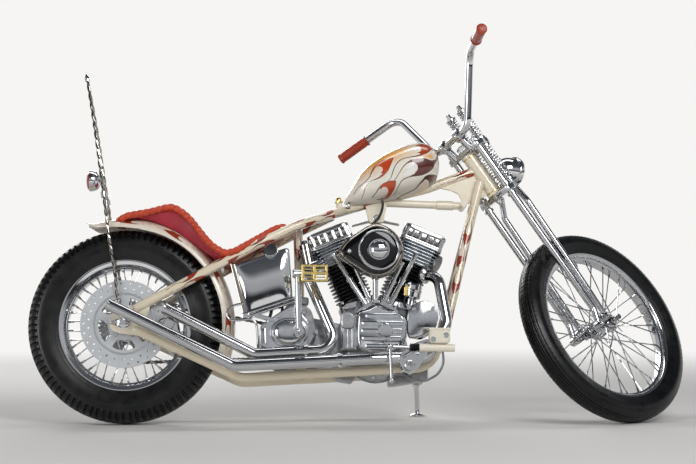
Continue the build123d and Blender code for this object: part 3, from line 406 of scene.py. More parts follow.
@dataclass(frozen=True)
class LampLens(Finish):
    """Ruby acrylic of a tail lamp: saturated, glossy and a little deep."""

    tint: str = "A3080A"
    prism_mm: float = 4.0
    relief_mm: float = 0.4
    title = "ruby_acrylic"

    def fill(self, tree: bpy.types.NodeTree, shader: bpy.types.Node) -> None:
        """Glossy red plastic with a moulded prism pattern."""
        set_inputs(shader, {"Base Color": srgb(self.tint), "IOR": 1.49, "Coat Weight": 0.5})
        prisms = add_node(tree, "ShaderNodeTexVoronoi", {"Scale": 1 / (self.prism_mm * MM)},
                          {"Vector": own_place(tree)}).outputs["Distance"]
        self.sheen(tree, shader, prisms, 0.08, 0.2)
        self.bump(tree, shader, prisms, self.relief_mm)


CHROME = ShowChrome()
SMOKED_CHROME = ShowChrome(tint="A39E97", rough_low=0.05, rough_high=0.16)
BLACK_CHROME = ShowChrome(tint="3A3A3C", rough_low=0.05, rough_high=0.14)
BRASS = ShowChrome(tint="DCC47E", rough_low=0.22, rough_high=0.36, smudge_mm=12)
CAST_ALLOY = CastMetal()
POLISHED_ALLOY = CastMetal(tint="D5D6D8", dark="A9AAAC", rough=0.16, depth_mm=0.05)
BARREL_ENAMEL = Enamel()
GROUND_STEEL = BrushedSteel()
CHAIN_STEEL = BrushedSteel(tint="7C7B79", rough=0.36)
DISC_STEEL = BrushedSteel(tint="D2D5D8", rough=0.46, stain=0.9)
TYRE = TyreRubber()
HEAD_ALLOY = CastMetal(tint="AEB6BE", dark="6E757E", rough=0.26, depth_mm=0.06)
SHOW_ALLOY = CastMetal(tint="D3D5D8", dark="C4C7CB", rough=0.13, depth_mm=0.015)
WHITE_CERAMIC = Enamel(tint="EDEAE2", dust="CFCBC0")
CREAM_ENAMEL = Enamel(tint="EDE6D6", dust="DDD5C2", rough=0.2)
STEEL_BRAID = BrushedSteel(tint="8E9092", rough=0.34)
FLUTED_GLASS = FluteGlass()
RED_LENS = LampLens()
SEAT_HIDE = Hide(tint="C41A3A", deep="8C0C20", rough=0.42)
LACE_HIDE = Hide(tint="EA501E", deep="A42C0E", pebble_mm=1.8, relief_mm=0.2)
GRIP_RUBBER = MouldedRubber(tint="A5391F", deep="9C351D", rough=0.34, relief_mm=0)
BLACK_RUBBER = MouldedRubber(tint="17171A", deep="0B0B0D", rough=0.45)


@dataclass(frozen=True)
class Lick:
    """One flame lick: a hot root that closes round a teardrop and trails off in two pinstripes."""

    heat: float
    warmth: float
    upper: tuple[Triple, ...]
    lower: tuple[Triple, ...]
    drop: tuple[Triple, ...]
    filled: bool = True

    def heart(self) -> tuple[Triple, ...]:
        """Stroke that fills the root between its two arms, up to the teardrop's nose."""
        tip, nose = Vector(self.upper[0][:2]), Vector(self.drop[0][:2])
        radius = 1.15 * self.drop[0][2] + 5.0
        middle, end = tip.lerp(nose, 0.45), tip.lerp(nose, 0.78)
        return ((tip.x, tip.y, 1), (middle.x, middle.y, 0.62 * radius), (end.x, end.y, radius))


def stroke_distance(places: np.ndarray, stroke: Sequence[Triple]) -> np.ndarray:
    """Signed distance of places from a tapered brush stroke.

    Args:
        places: Rows of paint coordinates in millimetres.
        stroke: Points of the stroke with its half width at each.

    Returns:
        One distance for each row, negative inside the stroke.
    """
    track = np.array(smooth_path(stroke, 5)) if len(stroke) > 2 else np.array(stroke)
    best = np.full(len(places), 1e6)
    for first, last in zip(track[:-1], track[1:]):
        run = last[:2] - first[:2]
        share = np.clip(((places - first[:2]) @ run) / max(run @ run, 1e-6), 0, 1)
        gap = np.hypot(*(places - (first[:2] + share[:, None] * run)).T)
        best = np.minimum(best, gap - (first[2] + share * (last[2] - first[2])))
    return best


@dataclass(frozen=True)
class FlameField:
    """The licks on one painted piece, in that piece's own paint coordinates."""

    licks: tuple[Lick, ...]
    bold: float = 0.35

    def sample(self, places: np.ndarray) -> dict[str, np.ndarray]:
        """Signed distances and tones of the flames at each place.

        Args:
            places: Rows of paint coordinates in millimetres.

        Returns:
            Arrays by attribute name, with distances in millimetres.
        """
        root, drop = np.full(len(places), NO_FLAME), np.full(len(places), NO_FLAME)
        heat, warmth = np.zeros(len(places)), np.zeros(len(places))
        for lick in self.licks:
            arms = np.minimum(stroke_distance(places, lick.upper), stroke_distance(places, lick.lower))
            if lick.filled:
                arms = np.minimum(arms, stroke_distance(places, lick.heart()))
            heat = np.where(arms < root, lick.heat, heat)
            root = np.minimum(root, arms - self.bold)
            tear = stroke_distance(places, lick.drop)
            warmth = np.where(tear < drop, lick.warmth, warmth)
            drop = np.minimum(drop, tear)
        return {"flame_root": root, "flame_heat": heat, "flame_drop": drop, "flame_warmth": warmth}


@dataclass(frozen=True)
class FlamePaint(Finish):
    """Pearl lacquer with traditional flames under a deep clear coat: glossy, warm, with crisp pinstripes."""

    pearl: str = "F0EADC"
    gold: str = "EBA945"
    # shade is the painted shade colour, mixed in where a piece's lower side is darkened.
    shade: str = "A3907A"
    hot: str = "CF4A12"
    ember: str = "4A0F08"
    cool: str = "F4F3F0"
    warm: str = "F0B673"
    flake_mm: float = 1.1
    title = "flame_lacquer"

    def fill(self, tree: bpy.types.NodeTree, shader: bpy.types.Node) -> None:
        """Mix the ground, the roots and the teardrops by the piece's stored distances."""
        set_inputs(shader, {"IOR": 1.5, "Roughness": 0.3, "Coat Weight": 1, "Coat Roughness": 0.03})
        stored = {name: add_node(tree, "ShaderNodeAttribute", {"attribute_name": name}).outputs["Fac"]
                  for name in ("flame_root", "flame_heat", "flame_drop", "flame_warmth", "gold_tone",
                               "shade_tone")}
        flake = self.spread(tree, self.grain(tree, self.flake_mm, 2), 0.93, 1)
        ground = blend(tree, stored["gold_tone"], srgb(self.pearl), srgb(self.gold))
        # Painted shade: the ground darkens towards the shade colour wherever the piece stores painted shade.
        ground = blend(tree, stored["shade_tone"], ground, srgb(self.shade))
        ember = blend(tree, stored["flame_heat"], srgb(self.hot), srgb(self.ember))
        thin = remap(tree, stored["flame_root"], -2.6, -0.6)
        ember = blend(tree, thin, ember, srgb(self.ember))
        drop = blend(tree, stored["flame_warmth"], srgb(self.cool), srgb(self.warm))
        fade = remap(tree, stored["flame_drop"], -11, 1)
        ground = blend(tree, fade, drop, ground)
        painted = blend(tree, remap(tree, stored["flame_root"], -BRUSH_EDGE, BRUSH_EDGE), ember, ground)
        painted = blend(tree, remap(tree, stored["flame_drop"], -BRUSH_EDGE, BRUSH_EDGE), ground, painted)
        pearled = add_node(tree, "ShaderNodeMix", {"data_type": "RGBA", "blend_type": "MULTIPLY",
                                                   MIX_SHARE: 1}, {MIX_FIRST: painted, MIX_SECOND: flake})
        tree.links.new(pearled.outputs[MIX_RESULT], shader.inputs["Base Color"])


FLAMES = FlamePaint()
FRAME_LACQUER = FlamePaint(pearl="EAE0C9", gold="E2B97C", shade="B8A184")


@dataclass
class Shape:
    """Points in millimetres and the faces between them."""

    points: np.ndarray
    faces: list[tuple[int, ...]]

    def moved(self, matrix: Matrix) -> "Shape":
        """The same shape after a transform."""
        turn = np.array(matrix.to_3x3())
        shift = np.array(matrix.translation)
        flip = matrix.to_3x3().determinant() < 0
        faces = [face[::-1] for face in self.faces] if flip else self.faces
        return Shape(self.points @ turn.T + shift, faces)


def joined(*shapes: Shape) -> Shape:
    """Several shapes as one."""
    points: list[np.ndarray] = []
    faces: list[tuple[int, ...]] = []
    start = 0
    for shape in shapes:
        points.append(shape.points)
        faces.extend(tuple(corner + start for corner in face) for face in shape.faces)
        start += len(shape.points)
    return Shape(np.vstack(points), faces)


def smooth_path(points: Sequence[Sequence[float]], steps: int = 8) -> list[tuple[float, ...]]:
    """Points along a smooth curve through the given ones.

    Args:
        points: Places that the curve passes, each with any number of values.
        steps: Pieces between two neighbours.

    Returns:
        The curve's points, first and last included.
    """
    track = np.array(points, float)
    padded = np.vstack([2 * track[0] - track[1], track, 2 * track[-1] - track[-2]])
    result = []
    for place in range(len(track) - 1):
        before, start, end, after = padded[place:place + 4]
        for step in range(steps):
            t = step / steps
            bend = (2 * before - 5 * start + 4 * end - after) * t ** 2
            twist = (3 * start - before - 3 * end + after) * t ** 3
            result.append(tuple(0.5 * (2 * start + (end - before) * t + bend + twist)))
    return result + [tuple(track[-1])]


def bent_path(points: Sequence[Triple], radius: float) -> list[Vector]:
    """Straight runs joined by tangent arcs, as a tube bender makes them.

    Args:
        points: Corners of the run with its two ends.
        radius: Bend radius.

    Returns:
        Points of the centre line.
    """
    corners = [Vector(point) for point in points]
    path = [corners[0]]
    for before, corner, after in zip(corners[:-2], corners[1:-1], corners[2:]):
        incoming = (corner - before).normalized()
        outgoing = (after - corner).normalized()
        turn = incoming.angle(outgoing)
        if turn < 1e-3:
            continue
        start = corner - incoming * radius * math.tan(turn / 2)
        normal = incoming.cross(outgoing).normalized()
        centre = start + normal.cross(incoming) * radius
        count = max(2, math.ceil(math.degrees(turn) / ARC_STEP))
        for step in range(count + 1):
            path.append(centre + Matrix.Rotation(turn * step / count, 3, normal) @ (start - centre))
    return path + [corners[-1]]


def even_path(path: Sequence[Vector], spacing: float) -> list[Vector]:
    """The same line with added points, so that none are further apart than spacing."""
    result = [path[0]]
    for first, last in zip(path[:-1], path[1:]):
        count = max(1, math.ceil((last - first).length / spacing))
        result.extend(first.lerp(last, step / count) for step in range(1, count + 1))
    return result


def smooth_line(points: Sequence[Triple], steps: int, spacing: float) -> list[Vector]:
    """An evenly stepped line along a smooth curve through the points."""
    return even_path([Vector(point) for point in smooth_path(points, steps)], spacing)


def run_along(line: Sequence[Vector]) -> np.ndarray:
    """Distance from a line's start to each of its points."""
    return np.concatenate([[0], np.cumsum([(b - a).length for a, b in zip(line[:-1], line[1:])])])


def band_faces(rows: int, count: int, looped: bool = True, closed: bool = False) -> list[tuple[int, ...]]:
    """Faces between neighbouring rows of points.

    Args:
        rows: Number of rows.
        count: Points in each row.
        looped: Whether each row closes on itself.
        closed: Whether the last row joins the first.

    Returns:
        Four corners for each face.
    """
    faces = []
    for row in range(rows if closed else rows - 1):
        here, there = row * count, (row + 1) % rows * count
        for k in range(count if looped else count - 1):
            after = (k + 1) % count
            faces.append((here + k, here + after, there + after, there + k))
    return faces


def end_faces(rows: int, count: int) -> list[tuple[int, ...]]:
    """Faces that fill the first and the last row."""
    return [tuple(range(count))[::-1], tuple(range((rows - 1) * count, rows * count))]


def swept(path: Sequence[Sequence[float]], radius: float | Sequence[float], sides: int = 16,
          capped: bool = True) -> Shape:
    """A round skin carried along a line without twisting.

    Args:
        path: Centre line.
        radius: One size, or one for each point of the line.
        sides: Points round it.
        capped: Whether the ends are closed.

    Returns:
        The skin.
    """
    line = [Vector(point) for point in path]
    sizes = list(radius) if isinstance(radius, (list, tuple, np.ndarray)) else [radius] * len(line)
    outline = [(math.cos(2 * math.pi * k / sides), math.sin(2 * math.pi * k / sides)) for k in range(sides)]
    tangents = []
    for place in range(len(line)):
        ahead = line[min(place + 1, len(line) - 1)] - line[max(place - 1, 0)]
        tangents.append(ahead.normalized())
    normal = Vector(UP) if abs(tangents[0].z) < 0.9 else Vector(AHEAD)
    normal = (normal - tangents[0] * normal.dot(tangents[0])).normalized()
    points = []
    for place, tangent in enumerate(tangents):
        normal = (normal - tangent * normal.dot(tangent)).normalized()
        side = normal.cross(tangent)
        for a, b in outline:
            points.append(line[place] + side * (a * sizes[place]) + normal * (b * sizes[place]))
    faces = band_faces(len(line), sides)
    if capped:
        faces += end_faces(len(line), sides)
    return Shape(np.array(points, float), [face[::-1] for face in faces])


def turned(profile: Sequence[Pair], at: Sequence[float] = (0, 0, 0), along: Sequence[float] = LEFT,
           steps: int = 48, closed: bool = False) -> Shape:
    """A turned piece.

    Args:
        profile: Pairs of distance along the axis and radius.
        at: Point on the axis from which the distances count.
        along: Direction of the axis.
        steps: Steps round it.
        closed: Whether the profile is a closed loop.

    Returns:
        The skin, closed where the profile reaches the axis or loops.
    """
    axis = Vector(along).normalized()
    lead = Vector(UP) if abs(axis.z) < 0.9 else Vector(AHEAD)
    first = np.array((lead - axis * lead.dot(axis)).normalized())
    second = np.cross(np.array(axis), first)
    angles = 2.0 * np.pi * np.arange(steps) / steps
    rows = []
    for distance, r in profile:
        centre = np.array(at) + np.array(axis) * distance
        rows.append(centre + r * (np.cos(angles)[:, None] * first + np.sin(angles)[:, None] * second))
    faces = band_faces(len(profile), steps, closed=closed)
    if not closed:
        faces += end_faces(len(profile), steps)
    return Shape(np.vstack(rows), faces)


def skinned(rows: Sequence[np.ndarray], looped: bool = True, capped: bool = True) -> Shape:
    """A skin over rows of points.

    Args:
        rows: Outlines with equal numbers of points.
        looped: Whether each outline closes on itself.
        capped: Whether the first and last outlines are filled.

    Returns:
        The skin.
    """
    faces = band_faces(len(rows), len(rows[0]), looped)
    if capped and looped:
        faces += end_faces(len(rows), len(rows[0]))
    return Shape(np.vstack(rows), faces)


def plate(outline: Sequence[Pair], near: float, far: float, holes: Sequence[Sequence[Pair]] = (),
          bevel: float = 0.8) -> Shape:
    """A flat piece drawn in side view, with eased edges.

    Args:
        outline: Points (x, z) of its edge.
        near: Side coordinate of one face.
        far: Side coordinate of the other face.
        holes: Outlines that are cut out.
        bevel: How far the edges are eased.

    Returns:
        The solid's skin.
    """
    low, high = sorted((near, far))
    bevel = min(bevel, 0.45 * (high - low))
    curve = bpy.data.curves.new("plate", "CURVE")
    curve.dimensions = "2D"
    curve.fill_mode = "BOTH"
    curve.extrude = 0.5 * (high - low) - bevel
    curve.bevel_depth = bevel
    curve.bevel_resolution = 1
    curve.offset = -bevel
    for loop in (outline, *holes):
        spline = curve.splines.new("POLY")
        spline.points.add(len(loop) - 1)
        for point, (x, z) in zip(spline.points, loop):
            point.co = (x, z, 0, 1)
        spline.use_cyclic_u = True
    holder = bpy.data.objects.new("plate", curve)
    mesh = bpy.data.meshes.new_from_object(holder)
    points = np.array([(v.co.x, 0.5 * (low + high) + v.co.z, v.co.y) for v in mesh.vertices])
    faces = [tuple(face.vertices)[::-1] for face in mesh.polygons]
    bpy.data.objects.remove(holder)
    bpy.data.curves.remove(curve)
    bpy.data.meshes.remove(mesh)
    return Shape(points, faces)


def square_ring(at: Sequence[float], along: Sequence[float], inner: float, outer: float, near: float,
                far: float, steps: int) -> Shape:
    """A ring of rectangular section round an axis, between two distances along it."""
    return turned([(near, inner), (near, outer), (far, outer), (far, inner)], at, along, steps, closed=True)


def flat_cap(at: Sequence[float], along: Sequence[float], radius: float, rim: float, height: float,
             top: float, steps: int = 20) -> Shape:
    """A round cap: straight up to its rim, eased in to the radius of its flat top."""
    return turned([(0, radius), (rim, radius), (height, top), (height, 0.1)], at, along, steps)


def circle(x: float, z: float, radius: float, steps: int = 24) -> list[Pair]:
    """Outline of a circle in side view."""
    angles = [2 * math.pi * k / steps for k in range(steps)]
    return [(x + radius * math.cos(a), z + radius * math.sin(a)) for a in angles]


def arc(x: float, z: float, radius: float, first: float, last: float, count: int) -> list[Pair]:
    """Points of an arc in side view between two angles in radians."""
    return [(x + radius * math.cos(a), z + radius * math.sin(a)) for a in np.linspace(first, last, count)]


def rounded(outline: Sequence[Pair], radius: float, steps: int = 5) -> list[Pair]:
    """An outline with its corners rounded."""
    result: list[Pair] = []
    count = len(outline)
    for place in range(count):
        corner = Vector(outline[place])
        back = Vector(outline[place - 1]) - corner
        on = Vector(outline[(place + 1) % count]) - corner
        reach = min(radius, 0.45 * back.length, 0.45 * on.length)
        start = corner + back.normalized() * reach
        end = corner + on.normalized() * reach
        for step in range(steps + 1):
            t = step / steps
            point = start * (1 - t) ** 2 + corner * 2 * t * (1 - t) + end * t ** 2
            result.append((point.x, point.y))
    return result


def block(size: Triple, at: Triple = (0, 0, 0), bevel: float = 2.0) -> Shape:
    """A machined block with rounded edges, centred on a point."""
    half_x, half_z = 0.5 * size[0], 0.5 * size[2]
    outline = rounded([(-half_x, -half_z), (half_x, -half_z), (half_x, half_z), (-half_x, half_z)], 2 * bevel,
                      4)
    shape = plate(outline, -0.5 * size[1], 0.5 * size[1], bevel=bevel)
    return shape.moved(Matrix.Translation(at))


def bolt(at: Sequence[float], along: Sequence[float], across: float = 12.0, height: float = 7.0) -> Shape:
    """A hexagon head on its washer, standing out along a direction."""
    r = across / math.sqrt(3)
    washer = turned([(-1, 0.5), (-1, 1.15 * r), (1, 1.15 * r), (1.6, 1.05 * r)], at, along, 20)
    head = flat_cap(at, along, r, height - 1.2, height, 0.86 * r, 6)
    return joined(washer, head)


def acorn(at: Sequence[float], along: Sequence[float], radius: float = 8.0) -> Shape:
    """A domed nut."""
    dome = [(radius * 0.7 + radius * math.sin(a), radius * 0.92 * math.cos(a))
            for a in np.linspace(0, 1.5, 7)]
    return joined(turned([(0, radius * 1.2), (radius * 0.25, radius * 1.2), (radius * 0.3, radius * 1.15)],
                         at, along, 20), turned([(0, radius), (radius * 0.7, radius)], at, along, 6),
                  turned([*dome, (radius * 1.72, 0.02)], at, along, 18))


def rod(start: Sequence[float], end: Sequence[float], radius: float, end_radius: float | None = None,
        sides: int = 20) -> Shape:
    """A round bar with eased ends, tapered where end_radius is given."""
    first, last = Vector(start), Vector(end)
    length = (last - first).length
    tip = radius if end_radius is None else end_radius
    ease = min(0.12 * radius, 1)
    profile = [(0, radius - ease), (ease, radius), (length - ease, tip), (length, tip - ease)]
    return turned(profile, start, last - first, sides)


def pipe_clamp(at: Sequence[float], along: Sequence[float], radius: float) -> Shape:
    """A clamped collar round a pipe at one point, with its screw."""
    axis = Vector(along).normalized()
    collar = square_ring(at, axis, radius, radius + 4, -8, 8, 32)
    side = axis.orthogonal().normalized()
    ear = Vector(at) + side * (radius + 7)
    return joined(collar, bolt(ear, axis.cross(side), 9, 6))


@dataclass
class Piece:
    """One named object of the dressed model, gathered from shapes with their finishes."""

    name: str
    body: str = "chassis"
    matrix: Matrix = field(default_factory=STANCE.chassis)
    shapes: list[tuple[Shape, Finish, bool]] = field(default_factory=list)
    stored: list[dict[str, np.ndarray]] = field(default_factory=list)

    def add(self, shape: Shape, finish: Finish, smooth: bool = True,
            stored: dict[str, np.ndarray] | None = None) -> "Piece":
        """Add a shape, its finish and any values stored at its points."""
        self.shapes.append((shape, finish, smooth))
        self.stored.append(stored or {})
        return self

    def build(self, *nodes: str, slot: str | None = None, sharp: float = 32.0,
              rounds: int = 0) -> bpy.types.Object:
        """Make the object.

        Args:
            nodes: CAD nodes that it stands for.
            slot: The record's material slot; not used.
            sharp: Edges that turn more than this many degrees stay crisp.
            rounds: Levels of subdivision.

        Returns:
            The finished object, riding on its body.
        """
        mesh = bpy.data.meshes.new(self.name)
        whole = joined(*[shape for shape, _, _ in self.shapes])
        placed = whole.moved(self.matrix)
        mesh.from_pydata(placed.points.tolist(), [], placed.faces)
        turned_out = bmesh.new()
        turned_out.from_mesh(mesh)
        bmesh.ops.recalc_face_normals(turned_out, faces=turned_out.faces)
        turned_out.to_mesh(mesh)
        turned_out.free()
        finishes: list[Finish] = []
        indices: list[int] = []
        smooth: list[bool] = []
        for shape, finish, soft in self.shapes:
            if finish not in finishes:
                finishes.append(finish)
                mesh.materials.append(finish.material())
            indices.extend([finishes.index(finish)] * len(shape.faces))
            smooth.extend([soft] * len(shape.faces))
        mesh.polygons.foreach_set("material_index", indices)
        mesh.polygons.foreach_set("use_smooth", smooth)
        names = {name for values in self.stored for name in values}
        for name in names:
            data = [values.get(name, np.full(len(shape.points),
                                             NO_FLAME if name in ("flame_root", "flame_drop") else 0))
                    for (shape, _, _), values in zip(self.shapes, self.stored)]
            attribute = mesh.attributes.new(name, "FLOAT", "POINT")
            attribute.data.foreach_set("value", np.concatenate(data).astype(np.float32))
        mesh.validate()
        mesh.set_sharp_from_angle(angle=math.radians(sharp))
        made = bpy.data.objects.new(self.name, mesh)
        bpy.context.scene.collection.objects.link(made)
        if rounds:
            smoother = made.modifiers.new("rounds", "SUBSURF")
            smoother.levels = smoother.render_levels = rounds
        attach(made, self.body)
        if nodes:
            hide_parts(*nodes)
        log.info("%s: %d faces, stands for %s", self.name, len(placed.faces), ", ".join(nodes) or "no node")
        return made


class Tread(Enum):
    """How a tyre's running surface is cut."""

    BLOCKS = "notched shoulder blocks beside a grooved centre"
    RIBS = "ribs all the way round with fine sipes"


def about_wheel(angle: float, radius: float, side: float, centre: Pair) -> Triple:
    """A point on a wheel by its angle in degrees, radius and side."""
    turn = math.radians(angle)
    return (centre[0] + radius * math.cos(turn), side, centre[1] + radius * math.sin(turn))


@dataclass
class Tyre:
    """One tyre: a moulded carcass whose tread is cut into the same skin."""

    name: str
    node: str
    body: str
    centre: Pair
    matrix: Matrix
    radius: float
    profile: tuple[Pair, ...]
    tread: Tread
    pitches: int
    steps_per_pitch: int = 5

    def groove(self, swing: np.ndarray, side: float, radius: float) -> np.ndarray:
        """How deep the tread is cut at each angle of one line round the tyre."""
        share = (swing * self.pitches / (2 * np.pi)) % 1.0
        reach = abs(side)
        depth = np.zeros(len(swing))
        if self.tread is Tread.BLOCKS:
            # Notches between the shoulder blocks, staggered from side to side.
            if 29.0 < reach and radius > self.radius - 34.0:
                late = (share + (0.5 if side > 0 else 0)) % 1.0
                depth += np.where(late < 0.36, 7.5 if reach > 36 else 5, 0)
            # Two grooves all the way round on each side, and sipes across the rest of the centre.
            if 8.0 < reach < 12.0 or 22.0 < reach < 27.0:
                depth += 5.0
            elif reach < 29.0:
                depth += np.where((share + 0.02 * reach) % 1 < 0.2, 2.5, 0)
        else:
            # Grooves between the ribs, with fine sipes across the ribs.
            rib = reach % 8.6
            if radius > self.radius - 18.0 and 3.4 < rib < 6.0:
                depth += 4.6
            elif radius > self.radius - 16.0:
                depth += np.where(share < 0.3, 1.1, 0)
        return depth

    def build(self) -> bpy.types.Object:
        """Make the tyre."""
        outline = smooth_path(self.profile, 2)
        steps = self.pitches * self.steps_per_pitch
        swing = 2.0 * np.pi * np.arange(steps) / steps
        rows = []
        for side, radius in outline:
            cut = self.groove(swing, side, radius)
            r = radius - cut
            tucked = side - math.copysign(1, side) * cut * min(max((abs(side) - 38) / 16, 0), 0.8)
            rows.append(np.stack([self.centre[0] + r * np.cos(swing), tucked,
                                  self.centre[1] + r * np.sin(swing)], axis=1))
        skin = skinned(rows, looped=True, capped=False)
        piece = Piece(self.name, self.body, self.matrix)
        piece.add(Shape(skin.points, [face[::-1] for face in skin.faces]), TYRE)
        return piece.build(self.node, slot="tyre_rubber", sharp=50)


@dataclass
class SpokedWheel:
    """Chromed drop-centre rim laced with forty spokes to a flanged hub."""

    name: str
    node: str
    body: str
    centre: Pair
    matrix: Matrix
    rim: tuple[Pair, ...]
    well_radius: float
    rim_half: float
    hub_radius: float
    flange_radius: float
    hub_half: float
    bore: float
    flange_inset: float = 12.0
    spoke_radius: float = 2.1
    count: int = 40

    def spokes(self) -> Shape:
        """Crossed spokes with their nipples at the rim."""
        quarter = self.count // 4
        step_angle = 360.0 / quarter
        shapes = []
        for side in (-1, 1):
            for sense in (-1, 1):
                for step in range(quarter):
                    rim_angle = step_angle * (step + 0.25 * sense + 0.125 * side)
                    start = Vector(about_wheel(rim_angle + sense * 1.6 * step_angle, self.flange_radius - 6,
                                               side * (self.hub_half - self.flange_inset) + 3.2 * sense,
                                               self.centre))
                    end = Vector(about_wheel(rim_angle, self.well_radius + 1,
                                             side * (0.2 * self.rim_half + 2 * sense), self.centre))
                    run = (end - start).normalized()
                    shapes.append(rod(start, end, self.spoke_radius, sides=8))
                    shapes.append(rod(end - run * 18, end, 3.4, 4.2, sides=8))
                    shapes.append(rod(start - Vector((0, 3.4, 0)), start + Vector((0, 3.4, 0)), 3.6, sides=8))
        return joined(*shapes)

    def hub(self) -> Shape:
        """Barrel with two drilled flanges, waisted between them."""
        half, flange = self.hub_half, self.hub_half - self.flange_inset
        profile = [(-half, self.bore), (-half, self.hub_radius - 4), (-half + 2, self.hub_radius - 2),
                   (-flange - 5, self.hub_radius), (-flange - 5, self.flange_radius - 2),
                   (-flange - 3.5, self.flange_radius), (-flange + 3.5, self.flange_radius),
                   (-flange + 5, self.flange_radius - 2), (-flange + 7, self.hub_radius + 4),
                   (-flange + 16, self.hub_radius), (-0.2 * half, 0.86 * self.hub_radius)]
        mirrored = [(-side, r) for side, r in reversed(profile)]
        return turned(profile + mirrored, (self.centre[0], 0, self.centre[1]), LEFT, 64, closed=True)

    def build(self) -> bpy.types.Object:
        """Make the wheel."""
        loop = list(self.rim) + [(-side, r) for side, r in reversed(self.rim) if side > 0]
        rim = turned(loop, (self.centre[0], 0, self.centre[1]), LEFT, 160, closed=True)
        piece = Piece(self.name, self.body, self.matrix)
        piece.add(rim, CHROME).add(self.spokes(), CHROME).add(self.hub(), CHROME)
        return piece.build(self.node, slot="chrome", sharp=40)


